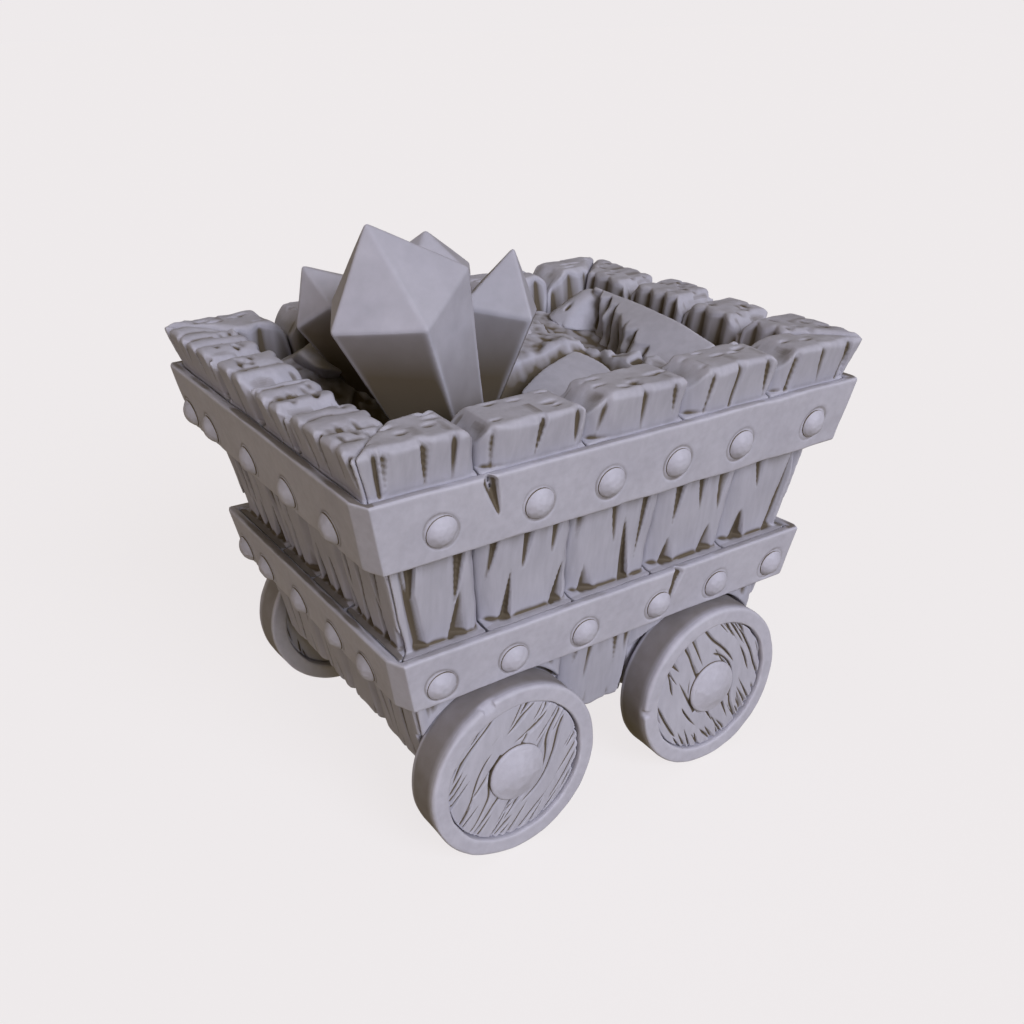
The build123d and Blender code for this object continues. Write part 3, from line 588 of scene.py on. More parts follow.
def carve_plank(wall, joints, top, seed):
    """Carved wall timber: carved as (along the wall, depth behind its face, height), then placed."""
    rng = np.random.default_rng(seed)
    long_wall = wall in ("front", "back")
    half = half_length if long_wall else half_width

    def edge(side, z, depth=0.0):
        joint = joints[0] if side < 0 else joints[1]
        if joint is None:
            return side * (half(z) - depth - MITRE_GAP)
        return joint * half(z) / half(RIM_Z) - side * PLANK_GAP / 2

    low, high = partial(edge, -1), partial(edge, 1)
    block = Block((min(low(SKIRT_Z, WALL), low(top)) - FLARE, -FLARE, SKIRT_Z),
                  (max(high(SKIRT_Z, WALL), high(top)) + FLARE, WALL, top))
    u, d, z = block.grid
    rows = wall_strokes(rng, low, high, top, long_wall)
    behind = np.maximum(*(within(z, hoop[0].z, hoop[1].z) for hoop in (UPPER, LOWER)))
    cut = plank_cuts(rows, u, z, joints, (low, high), top, long_wall) * (1 - behind)

    # The outer face flares at the rim and stands back between and below the hoops.
    front = d + FLARE * np.clip((z - UPPER[1].z) / (RIM_Z - UPPER[1].z), 0, 1)
    front = front - RECESS * within(z, LOWER[1].z - LEDGE, UPPER[0].z + LEDGE)
    front = front - 0.6 * RECESS * np.clip((LOWER[0].z + LEDGE - z) / 0.004, 0, 1)
    outer = cut + 0.0012 + 0.0018 * lattice_noise(rng, (u, z * 0.4), 0.06, 2) - front
    wave = u / FLUTE + 0.25 * lattice_noise(rng, (u, z * 0.3), 0.08)
    flutes = FLUTE_DEPTH * (1 - np.abs(np.sin(pi * wave))) ** 0.8
    inner = d - WALL + flutes + 0.002
    sides = []
    for side, joint in zip((-1, 1), joints):
        plane = side * (u - edge(side, z, d)) + 0.0022 * lattice_noise(rng, (d, z), 0.06, 2)
        sides.append(plane / sqrt(2) if joint is None else plane)
    valleys = [row[0][0] for row in rows if row[0][1] > top and wall == "left"]
    upper = z - (top - top_relief(rng, u, d, low(top), high(top), valleys))
    under = SKIRT_Z + rough(rng, (u, d), 0.004, 0.03) - z
    body = smooth_max(smooth_max(outer, inner, 0.003), smooth_max(*sides, 0.003), 0.008)
    field = smooth_max(body, smooth_max(upper, under, 0.003), 0.009)

    # Worn edges: a broad pole-like one at the left of a long wall's planks, and chipped shoulders.
    chip = 0.0040 * lattice_noise(rng, (u, z, d), 0.034, 1)
    for side, joint, shoulder in zip(sides, joints, SHOULDERS):
        bevel = 0.001 if joint is None else 0.014 + 0.003 * lattice_noise(rng, (z, z * 0), 0.12)
        field = smooth_max(field, (side - front) / sqrt(2) + bevel * (1 - behind) + chip * 0.5, 0.004)
        if side is sides[0] and joint is not None and long_wall:
            pole = 0.45 * side - 0.89 * front + 0.020 + 0.004 * lattice_noise(rng, (z, z * 0), 0.15)
            field = smooth_max(field, pole - 0.05 * behind, 0.012)
        shoulder = (SHARP_SHOULDER if joint is None else shoulder) + rng.uniform(-0.003, 0.005)
        field = smooth_max(field, (side + z - top) / sqrt(2) + shoulder + chip, 0.004)
    field = smooth_max(field, (cut * 0.7 - front + z - top) / sqrt(2) + 0.010 + chip, 0.004)
    field = smooth_max(field, (d - WALL + z - top) / sqrt(2) + 0.009 + chip, 0.004)
    points, quads, hollow = block.mesh(cut_housings(wall, field, u, d, z), 0.013)
    hollow = plank_painted_shade(block, points, hollow, cut, long_wall)
    return wall_to_frame(wall, points), outward_quads(wall, quads), hollow


def cut_housings(wall, field, u, d, z):
    """Cuts the wheel housings and axle slots out of a plank's field."""
    if wall in ("front", "back"):
        x, y = np.abs(u), half_width(z) - d
    else:
        x, y = half_length(z) - d, np.abs(u)
    reach = np.sqrt((x - WHEEL_X) ** 2 + (z - WHEEL_RADIUS) ** 2)
    housing = np.maximum(reach - ARCH_RADIUS, ARCH_FACE - y)
    slot = np.maximum(np.abs(x - WHEEL_X) - AXLE_SLOT, z - WHEEL_RADIUS - AXLE_SLOT)
    return np.maximum(field, -np.minimum(housing, slot))


def plank_joints(wall_nodes, axis):
    """Joints along the rim between a wall's planks, from their boxes."""
    joints = []
    for left, right in zip(wall_nodes, wall_nodes[1:]):
        left_high, right_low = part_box(left)[1][axis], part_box(right)[0][axis]
        leans_right = abs(right_low) > abs(left_high)
        joints.append(right_low - PLANK_GAP / 2 if leans_right else left_high + PLANK_GAP / 2)
    return joints


def make_planks(materials):
    """All wall timbers."""
    walls = {"front": ("front_plank", 5, 0), "back": ("back_plank", 5, 0),
             "left": ("left_end_plank", 4, 1), "right": ("right_end_plank", 4, 1)}
    seed = 100
    for wall, (name, count, axis) in walls.items():
        nodes = [f"{name}_{i + 1}" for i in range(count)]
        joints = [None, *plank_joints(nodes, axis), None]
        for i, node in enumerate(nodes):
            seed += 1
            part = carve_plank(wall, (joints[i], joints[i + 1]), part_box(node)[1].z, seed)
            add_piece(f"carved_{node}", [part], materials["wall_timber"], "root", [node], "tub_timber")


# ---- hoops and spikes ----

FACET_X = 0.020                 # what the front left corner's facet cuts off along x and y
FACET_Y = 0.045
SMALL_FACET = 0.35              # size of the other corners' facets beside it
CRACK_DEPTH = 0.021


def hoop_corners(proud, facet):
    """Eight corners of a hoop's outline as functions of height; only the front left facet is broad."""
    corners = []
    for sx, sy in ((-1, -1), (1, -1), (1, 1), (-1, 1)):
        share = facet if sx < 0 and sy < 0 else facet * SMALL_FACET
        near_x = (sx, sy, FACET_X * share, 0.0)
        near_y = (sx, sy, 0.0, FACET_Y * share)
        corners += [near_x, near_y] if sx * sy < 0 else [near_y, near_x]

    def place(corner):
        sx, sy, cut_x, cut_y = corner
        return lambda z: ((half_length(z) + proud - cut_x) * sx, (half_width(z) + proud - cut_y) * sy)

    return [place(corner) for corner in corners]


def separate_solids(node):
    """Corner points of each separate solid of a CAD node, in the order of their first points."""
    points = node_points(node)
    _, first, same = np.unique(np.round(points, 6), axis=0, return_index=True, return_inverse=True)
    alias = first[same.ravel()]
    edges = np.array([tuple(edge.vertices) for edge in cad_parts[node].data.edges])
    part = connected(len(points), alias[edges])[alias]
    return [points[part == label] for label in np.unique(part)]


def spike_places(node):
    """Centre of every spike's head and its outward direction, from the CAD node's separate solids."""
    places = []
    for solid in separate_solids(node):
        middle = (solid.min(0) + solid.max(0)) / 2
        # The shank runs square to its wall, so the longer side of the box says which wall it is.
        size = solid.max(0) - solid.min(0)
        if size[0] > size[1]:
            out = Vector((np.sign(middle[0]), 0, -END_SLOPE)).normalized()
        else:
            out = Vector((0, np.sign(middle[1]), -SIDE_SLOPE)).normalized()
        reach = (solid @ np.array(out)).max()
        top = solid[(solid @ np.array(out)) > reach - 1e-4].mean(0)
        places.append((Vector(top) - out * DOME_HEIGHT, out))
    return sorted(places, key=lambda place: tuple(round(c, 4) for c in place[0]))


def unroll(point, ends, outer):
    """Distance round a hoop of a point on its outside."""
    nearest = []
    for i in range(8):
        (ax, ay), (bx, by) = outer[i](point.z), outer[(i + 1) % 8](point.z)
        dx, dy = bx - ax, by - ay
        f = min(max(((point.x - ax) * dx + (point.y - ay) * dy) / (dx * dx + dy * dy), 0), 1)
        off = hypot(ax + f * dx - point.x, ay + f * dy - point.y)
        nearest.append((off, ends[i] + f * (ends[i + 1] - ends[i])))
    return min(nearest)[1]


def wrap_hoop(s, depth, height, ends, outer, inner):
    """Points of a hoop that was carved flat, wrapped round the tub."""
    segment = np.clip(np.searchsorted(ends, s, side="right") - 1, 0, 7)
    f = (s - ends[segment]) / (ends[segment + 1] - ends[segment])
    placed = np.zeros((len(s), 3))
    placed[:, 2] = height
    for i in range(8):
        here = segment == i
        share, z = f[here], height[here]
        for axis in range(2):
            back, out = (line[i](z)[axis] * (1 - share) + line[(i + 1) % 8](z)[axis] * share
                         for line in (inner, outer))
            placed[here, axis] = back + (out - back) * depth[here]
    return placed


def carve_hoop(low, high, spikes, crack, seed):
    """Hammered hoop, carved flat as (distance round, thickness, height) and then wrapped."""
    rng = np.random.default_rng(seed)
    outer = hoop_corners(BAND, 1.0)
    inner = hoop_corners(0.0, 0.06)
    middle = [corner((low + high) / 2) for corner in outer]
    lengths = [hypot(bx - ax, by - ay) for (ax, ay), (bx, by) in zip(middle, middle[1:] + middle[:1])]
    ends = np.cumsum([0.0] + lengths)
    ring = Ring(ends[-1], (-2 * VOXEL, round(BAND / VOXEL) + 5),
                (low - 2.5 * VOXEL, round((high - low) / VOXEL) + 6))
    u, t, h = ring.u, ring.v, ring.w
    dents = 0.0011 * lattice_noise(rng, (*ring.round, h), 0.07, 2)
    edge_wave = 0.0016 * lattice_noise(rng, ring.round, 0.09, 2)
    face = smooth_max(t - BAND + 0.0012 + dents, -t, 0.002)
    edges = smooth_max(h - high + 0.0012 + edge_wave, low + 0.0012 + edge_wave - h, 0.002)
    field = smooth_max(face, edges, 0.007)
    for centre, _ in spikes:
        around = np.abs(u - unroll(centre, ends, outer))
        around = np.minimum(around, ends[-1] - around)
        away = np.sqrt(around ** 2 + (h - centre.z) ** 2) - DOME_RADIUS - 0.002
        field = np.maximum(field, t - BAND + 0.0035 * np.exp(-(away / 0.004) ** 2))
    start, end = ((unroll(Vector((x, -half_width(z) - BAND, z)), ends, outer), z)
                  for x, z in (crack["start"], crack["end"]))
    cut = groove(u, h, start, end, crack["width"], CRACK_DEPTH, 0.6, -0.3, 0.0, 0.45)
    field = smooth_max(field, t - BAND + cut, 0.002)
    points, quads, hollow, cells = ring.mesh(field)

    # Painted shade in the crack, on top of the painted shade in the dents, and painted shade along the
    # upper edge, most on the end walls.
    hollow = hollow + cut[cells[:, 0], 0, cells[:, 2]] / 0.030
    s, depth, height = points.T
    placed = wrap_hoop(s, depth / BAND, height, ends, outer, inner)
    upper_edge = np.clip((height - height.max() + 0.0040) / 0.002, 0, 1)
    on_end = np.abs(placed[:, 0]) > half_length(height) - 0.010
    hollow = hollow + (0.16 + 0.18 * on_end - np.minimum(hollow, 0)) * upper_edge
    return placed, quads[:, ::-1], hollow


def hammered_dome(rng, centre, out):
    """Domed head with small flats left by the hammer, and a short skirt that sits in the hoop."""
    rings, sectors, skirt = 18, 40, 0.006
    height = DOME_HEIGHT * 1.02
    radius = DOME_RADIUS * 0.93
    sphere = (radius ** 2 + height ** 2) / (2 * height)
    side = out.orthogonal().normalized()
    up = out.cross(side)
    flats = [(0.0, 0.0, 1.0, height - 0.0012)]
    for angle, lean in hammer_blows(rng, ((6, 19, 4), (10, 37, 4))):
        reach = sphere - (sphere - height) * cos(lean) - rng.uniform(0.0003, 0.0012)
        flats.append((cos(angle) * sin(lean), sin(angle) * sin(lean), cos(lean), reach))
    points = []
    for i in range(rings + 2):
        r = radius * sin(pi / 2 * min(i / rings, 1))
        for k in range(sectors):
            x, y = r * cos(2 * pi * k / sectors), r * sin(2 * pi * k / sectors)
            ball = sqrt(max(sphere ** 2 - r * r, 0)) - sphere + height
            h = max(min([ball] + [(reach - a * x - b * y) / c for a, b, c, reach in flats]), 0.0008)
            h = h if i < rings else skirt * (rings - i)
            points.append(centre + side * x + up * y + out * h)
    points.append(centre - out * skirt)
    # Painted shade on the dome's outer rings and its skirt, where the head meets the hoop.
    hollow = np.repeat((0.0, 0.8, 0.9, 0.0), ((rings - 1) * sectors, 2 * sectors, sectors, 1))
    quads = []
    for i in range(rings + 1):
        for k in range(sectors):
            j = (k + 1) % sectors
            quads.append((i * sectors + k, (i + 1) * sectors + k, (i + 1) * sectors + j, i * sectors + j))
    last = (rings + 1) * sectors
    for k in range(0, sectors, 2):
        quads.append((len(points) - 1, last + (k + 2) % sectors, last + k + 1, last + k))
    return np.array(points), np.array(quads), hollow


def make_hoops(materials):
    """Both hoops and their spikes; each hoop has one crack, where the photograph shows it."""
    hoops = (("upper", UPPER, 11, {"start": (-0.352, UPPER[1].z + 0.002),
                                   "end": (-0.322, UPPER[1].z - 0.090), "width": 0.036}),
             ("lower", LOWER, 12, {"start": (0.162, LOWER[1].z + 0.002),
                                   "end": (0.142, LOWER[1].z - 0.085), "width": 0.032}))
    for name, box, seed, crack in hoops:
        band, heads = f"{name}_band", f"{name}_band_spikes"
        spikes = spike_places(heads)
        part = carve_hoop(box[0].z, box[1].z, spikes, crack, seed)
        add_piece(f"hammered_{band}", [part], materials["iron"], "root", [band], "hoop_iron")
        rng = np.random.default_rng(seed + 20)
        domes = [hammered_dome(rng, centre, out) for centre, out in spikes]
        add_piece(f"{name}_spike_heads", domes, materials["spike_iron"], "root", [heads], "spike_iron")


# ---- wheels ----

CAP_DOME = 0.105                # radius of the dome on a hub cap
GRAIN = 0.032                   # width of a lane of carved grain
GRAIN_DEPTH = 0.0075
BIGGEST_CHIP = 0.014            # reach of the chip in the first tyre

def carve_tyre(seed, chip_at, chip_size):
    """Broad rim with one chip in its edge, carved flat as (distance round, radius, reach) and wrapped.

    The reach is measured from the wheel's back.
    """
    rng = np.random.default_rng(seed)
    ring = Ring(2 * pi * WHEEL_RADIUS,
                (DISC_RADIUS - 2 * VOXEL, round((WHEEL_RADIUS - DISC_RADIUS) / VOXEL) + 5),
                (-2 * VOXEL, round(TREAD / VOXEL) + 5))
    radius, reach = ring.v, ring.w
    dents = 0.0010 * lattice_noise(rng, (*ring.round, reach), 0.055, 2)
    worn = 0.0020 * lattice_noise(rng, ring.round, 0.05, 2)
    hole = DISC_RADIUS + 0.0010 + 0.0015 * lattice_noise(rng, ring.round, 0.04) - radius
    rim = smooth_max(radius - WHEEL_RADIUS + 0.0008 + dents, hole, 0.002)
    sides = smooth_max(reach - TREAD + 0.0008 + dents, 0.0008 - reach, 0.002)
    field = smooth_max(rim, sides, 0.005)
    outer_edge = (radius - WHEEL_RADIUS + reach - TREAD) / sqrt(2)
    inner_edge = (DISC_RADIUS - radius + reach - TREAD) / sqrt(2)
    field = smooth_max(field, outer_edge + 0.0035 + worn, 0.003)
    field = smooth_max(field, inner_edge + 0.002 + worn * 0.3, 0.002)
    x, z = ring.round
    away = np.hypot(x - WHEEL_RADIUS * cos(chip_at), z - WHEEL_RADIUS * sin(chip_at))
    field = smooth_max(field, np.minimum(outer_edge + 0.011, chip_size - away), 0.004)
    points, quads, hollow, _ = ring.mesh(field)
    s, radii, reaches = points.T
    placed = np.stack([radii * np.cos(s / WHEEL_RADIUS), reaches, radii * np.sin(s / WHEEL_RADIUS)], 1)
    # Painted shade over the tread, fading out towards the wheel's outer face.
    on_tread = np.clip((radii - WHEEL_RADIUS + 0.008) / 0.006, 0, 1)
    on_tread = on_tread * np.clip((TREAD - 0.006 - reaches) / 0.02, 0, 1)
    return placed, quads, hollow + 0.28 * on_tread


def grain_cuts(rng, x, z, tilt):
    """Carved grain on a wheel's disc: long cuts that part round the hub, short wedges between them."""
    along, across = x * cos(tilt) + z * sin(tilt), z * cos(tilt) - x * sin(tilt)
    r2 = np.maximum(along ** 2 + across ** 2, CAP_RADIUS ** 2 * 0.6)
    wobble = 0.006 * lattice_noise(rng, (along, across), 0.09, 2)
    wave = (across * (1 - 0.7 * CAP_RADIUS ** 2 / r2) + wobble) / GRAIN
    lane = np.floor(wave)
    beside = wave - lane - 0.5 - 0.25 * np.sin(lane * 2.4)
    strength = np.clip(0.45 + 1.6 * lattice_noise(rng, (along, lane * 0.07), 0.06), 0, 1)
    cut = GRAIN_DEPTH * strength * np.clip(1 - np.abs(beside) / (0.05 + 0.11 * strength), 0, 1)
    for ring, direction, count in ((DISC_RADIUS, -1, 24), (CAP_RADIUS, 1, 6)):
        for k in range(count):
            place = ring * (2 * (k + rng.uniform(0, 1)) / count - 1)
            side = rng.choice((-1, 1))
            start = (side * sqrt(ring ** 2 - place ** 2), place)
            length, rise = rng.uniform(0.04, 0.10), rng.uniform(-0.010, 0.010)
            end = (start[0] + side * direction * length, place + rise)
            width, depth = rng.uniform(0.007, 0.013), rng.uniform(0.005, 0.009)
            lean = rng.uniform(-0.5, 0.5)
            cut = np.maximum(cut, groove(along, across, start, end, width, depth, 0.8, lean))
    return cut


def carve_disc(seed, tilt):
    """Wooden web of a wheel with grain carved in both faces, y measured from the wheel's back."""
    rng = np.random.default_rng(seed)
    block = Block((-DISC_RADIUS, DISC_BACK, -DISC_RADIUS), (DISC_RADIUS, DISC_FACE, DISC_RADIUS),
                  VOXEL * 0.5)
    x, y, z = block.grid
    front = grain_cuts(rng, x, z, tilt)
    rear = grain_cuts(rng, x, z, tilt + 0.4)
    radius = np.sqrt(x * x + z * z)
    dish = 0.003 * np.clip(radius / DISC_RADIUS, 0, 1) ** 6
    slab = np.maximum(y - DISC_FACE + front + dish, DISC_BACK + rear + dish - y)
    field = smooth_max(slab, radius - DISC_RADIUS + 0.0012, 0.003)
    return block.mesh(np.maximum(field, STUB_HOLE - radius), 0.004)


def hammer_blows(rng, rings):
    """(angle, lean) of the flats that a hammer leaves round a dome, for rings of (count, tilt, spread)."""
    for count, tilt, spread in rings:
        turn = rng.uniform(0, 2 * pi)
        for k in range(count):
            angle = turn + 2 * pi * (k + rng.uniform(-0.25, 0.25)) / count
            yield angle, radians(tilt + rng.uniform(-spread, spread))


def carve_cap(seed):
    """Hub cap: a thick round boss under a low dome of hammered flats."""
    rng = np.random.default_rng(seed)
    back = DISC_FACE - 0.006
    block = Block((-CAP_RADIUS, back, -CAP_RADIUS), (CAP_RADIUS, CAP_TOP, CAP_RADIUS), VOXEL * 0.6)
    x, y, z = block.grid
    rim = CAP_RADIUS * (0.985 + 0.02 * lattice_noise(rng, (np.arctan2(z, x) * 0.02, y * 0), 0.02))
    radius = np.sqrt(x * x + z * z)
    slope = 0.25 * (radius - CAP_RADIUS * 0.8)
    flange = smooth_max(radius - rim, y - CAP_TOP + 0.012 + slope, 0.006)
    dome = smooth_max(radius - CAP_RADIUS * 0.80, y - CAP_TOP + 0.001, 0.004)
    for angle, lean in hammer_blows(rng, ((5, 12, 3), (8, 25, 3))):
        beside = x * cos(angle) + z * sin(angle)
        flat = beside * sin(lean) + (y - CAP_TOP + CAP_DOME) * cos(lean) - CAP_DOME
        dome = smooth_max(dome, flat, 0.0012)
    field = np.maximum(smooth_min(dome, flange, 0.003), back - y)
    points, quads, hollow = block.mesh(field, 0.004)
    # Painted shade round the cap's foot, where it meets the disc.
    at_foot = np.clip((DISC_FACE + 0.004 - points[:, 1]) / 0.004, 0, 0.6)
    return points, quads, np.maximum(hollow, at_foot)


def place_on_wheel(part, end, side):
    """Moves a part from a wheel's own axes to its place at one end (-1, 1) and side (-1, 1)."""
    points, quads, hollow = part
    x, y, z = points.T
    placed = np.stack([x + end * WHEEL_X, (WHEEL_BACK + y) * side, z + WHEEL_RADIUS], 1)
    return placed, quads if side > 0 else quads[:, ::-1], hollow


def make_wheels(materials):
    """Four wheels, each turned its own way so that no two show the same face."""
    wheels = (("front_left", -1, -1, 52), ("front_right", 1, -1, 118),
              ("back_left", -1, 1, 75), ("back_right", 1, 1, 20))
    for number, (name, end, side, tilt) in enumerate(wheels, 1):
        tyre = carve_tyre(200 + number, radians(40 + 70 * number), BIGGEST_CHIP / number)
        pieces = (("tyre", tyre, "iron", "tyre_iron"),
                  ("disc", carve_disc(300 + number, radians(tilt)), "wheel_timber", "wheel_timber"),
                  ("hub_cap", carve_cap(400 + number), "spike_iron", "hub_iron"))
        for piece, part, material, slot in pieces:
            node = f"{name}_{piece}"
            add_piece(f"carved_{node}", [place_on_wheel(part, end, side)], materials[material],
                      f"{name}_wheel", [node], slot)


# ---- load ----

RIB = 0.044                     # width of the ribs on the ridge rock's split face
PITS = 14                       # pits in the hill beside it
BLOCKS = 150                    # blocks of ore thrown on the heap
BLOCK_SIZE = (0.045, 0.110)
LIE = (0.016, 0.012)            # how far the blocks dip under the heap's surface and stand over it
STONE = 0.080                   # size of the ore pressed against the tub
LOAD_GAP = 0.004                # between the heap and the planks

def hull_planes(points):
    """Flat faces of the convex hull of points: (unit normal, distance), merged where level."""
    bm = bmesh.new()
    for point in points:
        bm.verts.new(point)
    bmesh.ops.remove_doubles(bm, verts=bm.verts, dist=1e-5)
    bmesh.ops.convex_hull(bm, input=bm.verts)
    middle = sum((v.co for v in bm.verts), Vector()) / len(bm.verts)
    planes = []
    for face in bm.faces:
        if face.calc_area() < 1e-6:
            continue
        normal = face.normal.copy()
        distance = normal.dot(face.verts[0].co)
        if normal.dot(middle) > distance:
            normal, distance = -normal, -distance
        if not any(normal.dot(n) > 0.9995 and abs(distance - d) < 0.002 for n, d in planes):
            planes.append((normal, distance))
    bm.free()
    return planes


def convex_field(block, planes, round_size):
    """Field of the solid inside flat faces, each (unit normal, distance), its edges rounded."""
    x, y, z = block.grid
    faces = (normal.x * x + normal.y * y + normal.z * z - distance for normal, distance in planes)
    return reduce(lambda field, face: smooth_max(field, face, round_size), faces)


def hull_field(block, points, round_size):
    """Field over the convex hull of points, its edges rounded."""
    return convex_field(block, hull_planes(points), round_size)


def face_through(point, *normal):
    """Flat face through a point: (unit normal, distance)."""
    normal = Vector(normal).normalized()
    return normal, normal.dot(point)


def carve_crystal(node, seed):
    """Crystal with flat facets and softly worn edges, with painted shade where it overhangs and painted
    shade growing towards its foot.
    """
    rng = np.random.default_rng(seed)
    block = Block(*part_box(node))
    field = hull_field(block, node_points(node), 0.0045)
    field = field + 0.0004 * lattice_noise(rng, block.grid, 0.06)
    points, quads, hollow = block.mesh(field)
    cells = (points - block.low) / block.step
    rise = sample(field, cells + (0, 0, 1)) - sample(field, cells)
    # Painted shade on facets that face down or sideways, more towards the foot; the pale edges are toned
    # down.
    shade = np.clip(0.04 - rise / block.step, 0, 0.27)
    shade_low_down = np.clip((RIM_Z + 0.10 - points[:, 2]) / 0.26, 0, 1) * 0.40
    return points, quads, 0.4 * np.minimum(hollow, 0) + shade + shade_low_down


def split_face(rng, x, y, z, along):
    """Relief of a broken face: ribs that run down it, with sharp cuts between them."""
    run = x * along[0] + y * along[1] + 0.006 * lattice_noise(rng, (x, y, z * 0.4), 0.05)
    run = run + 0.020 * lattice_noise(rng, (run, run * 0), 0.085)
    depth = 0.012 + 0.010 * lattice_noise(rng, (run, z), 0.07)
    ribs = depth * (1 - np.abs(np.sin(pi * run / RIB))) ** 0.8
    return ribs + 0.011 * lattice_noise(rng, (run, z), 0.045, 2)


def carve_ridge(seed):
    """Ridge rock: a smooth tilted slab with a ribbed split edge, against a pitted hill."""
    rng = np.random.default_rng(seed)
    low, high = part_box("ridge_rock")
    block = Block(low, high)
    x, y, z = block.grid
    whole = hull_field(block, node_points("ridge_rock"), 0.007)
    whole = whole + rough(rng, (x, y, z), 0.0012, 0.10, 2)
    peak = Vector((high.x - 0.034, high.y - 0.070, high.z))
    spire = peak - Vector((0.024, 0.049, 0.041))
    split = convex_field(block, [face_through(spire, -0.90, 0.22, 0.18)], 0.003)
    slab = smooth_max(whole, split + split_face(rng, x, y, z, (0.24, 0.97)), 0.003)
    hill = convex_field(block, [face_through(peak, -0.42, -0.22, 0.88),
                                face_through(spire + Vector((0, 0.006, 0)), -0.35, -0.85, 0.40),
                                face_through(peak - Vector((0.09, 0, 0.05)), -0.74, -0.20, 0.64)], 0.012)
    hill = smooth_max(whole, hill + rough(rng, (x, y, z), 0.005, 0.055, 2), 0.012)
    for _ in range(PITS):
        cx = rng.uniform(low.x + 0.06, high.x - 0.03)
        cy = rng.uniform(high.y - 0.24, high.y - 0.06)
        size = rng.uniform(0.007, 0.013)
        away = ((x - cx) / size) ** 2 + ((y - cy) / (size * 0.6)) ** 2
        hill = hill + rng.uniform(0.004, 0.009) * np.exp(-away ** 1.5)
    return block.mesh(smooth_min(slab, hill, 0.006))


def carve_front_slab(seed):
    """Smooth lens of rock that leans against the heap behind the front wall, drawn out to a tip."""
    rng = np.random.default_rng(seed)
    low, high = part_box("front_slab")
    tip = low + Vector((-0.045, 0.185, 0.098))
    block = Block((tip.x, low.y, low.z), high)
    field = hull_field(block, np.vstack([node_points("front_slab"), tip]), 0.009)
    return block.mesh(field + rough(rng, block.grid, 0.0012, 0.09, 2))


def carve_loose_rock(points, seed):
    """Broken rock with flat faces, worn edges and a slightly uneven skin."""
    rng = np.random.default_rng(seed)
    block = Block(points.min(0), points.max(0))
    field = hull_field(block, points, 0.008)
    return block.mesh(field + rough(rng, block.grid, 0.002, 0.05, 2))


def thrown_blocks(rng, block, surface):
    """Height of broken blocks that lie at all angles over a surface."""
    (low_x, low_y, _), (high_x, high_y, _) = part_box("ore_heap")
    x, y, _ = block.grid
    blocks = np.full(surface.shape, -1.0, np.float32)
    last_i, last_j = surface.shape[0] - 1, surface.shape[1] - 1
    for _ in range(BLOCKS):
        cx, cy = rng.uniform(low_x, high_x), rng.uniform(low_y, high_y)
        i = int(np.clip((cx - block.low[0]) / block.step, 0, last_i))
        j = int(np.clip((cy - block.low[1]) / block.step, 0, last_j))
        size = rng.uniform(*BLOCK_SIZE)
        height = surface[i, j] + rng.uniform(-0.3, 0.2) * size
        reach = int(size * 1.6 / block.step) + 1
        si, sj = slice(max(i - reach, 0), i + reach + 1), slice(max(j - reach, 0), j + reach + 1)
        dx, dy = x[si, :, 0] - cx, y[:, sj, 0] - cy
        stone = height + 0.25 * size - 0.3 * (dx * cos(size * 900) + dy * sin(size * 900))
        for k in range(6):
            angle = 2 * pi * (k + rng.uniform(-0.3, 0.3)) / 6
            slope = rng.uniform(0.7, 2.6)
            edge = rng.uniform(0.45, 0.95) * size
            stone = np.minimum(stone, height + slope * (edge - dx * cos(angle) - dy * sin(angle)))
        blocks[si, sj] = np.maximum(blocks[si, sj], stone)
    return sum(np.roll(blocks, shift, (0, 1)) for shift in ((0, 0), (1, 0), (0, 1), (1, 1))) / 4


def lowered_under(surface, block, node, drop):
    """A surface lowered under a rock's box, so that the rock stands out of it."""
    near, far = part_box(node)
    x, y, _ = block.grid
    away = np.maximum(np.abs(x - (near.x + far.x) / 2) - (far.x - near.x) / 2,
                      np.abs(y - (near.y + far.y) / 2) - (far.y - near.y) / 2)[:, :, 0]
    return surface - drop * np.clip(1 - away / 0.03, 0, 1)


def carve_heap(seed):
    """Heap of broken ore over the CAD heap's surface, its sides pressed to the tub's walls."""
    rng = np.random.default_rng(seed)
    low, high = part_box("ore_heap")
    block = Block(low, (high.x, high.y, high.z + 0.01), VOXEL * 1.3)
    x, y, z = block.grid
    surface = heap_surface(block.axes[0], block.axes[1])
    blocks = thrown_blocks(rng, block, surface)
    surface = lowered_under(surface, block, "ridge_rock", 0.006)
    surface = lowered_under(surface, block, "front_slab", 0.030)
    top = np.maximum(np.minimum(blocks, surface + LIE[1]), surface - LIE[0])[:, :, None]
    top = top + 0.0030 * lattice_noise(rng, (x, y), 0.028, 3)
    inset = WALL + LOAD_GAP
    field = smooth_max(z - top, np.abs(x) - half_length(z) + inset + pressed_stones(rng, y, z), 0.004)
    field = smooth_max(field, np.abs(y) - half_width(z) + inset + pressed_stones(rng, x, z), 0.004)
    field = smooth_max(field, low.z + rough(rng, (x, y), 0.004, 0.03) - z, 0.004)
    points, quads, hollow = block.mesh(field, 0.014)
    x, y, z = points.T
    # Painted shade: darker the lower a point lies under the rim, less so right against the walls; pale
    # edges halved.
    low_down = np.clip((RIM_Z - 0.03 - z) / 0.13, 0, 1)
    inward = -WALL - np.maximum(np.abs(x) - half_length(z), np.abs(y) - half_width(z))
    hollow = np.maximum(hollow, 0.5 * hollow) + 0.42 * low_down * np.clip(inward / 0.03, 0.2, 1)
    return points, quads, hollow


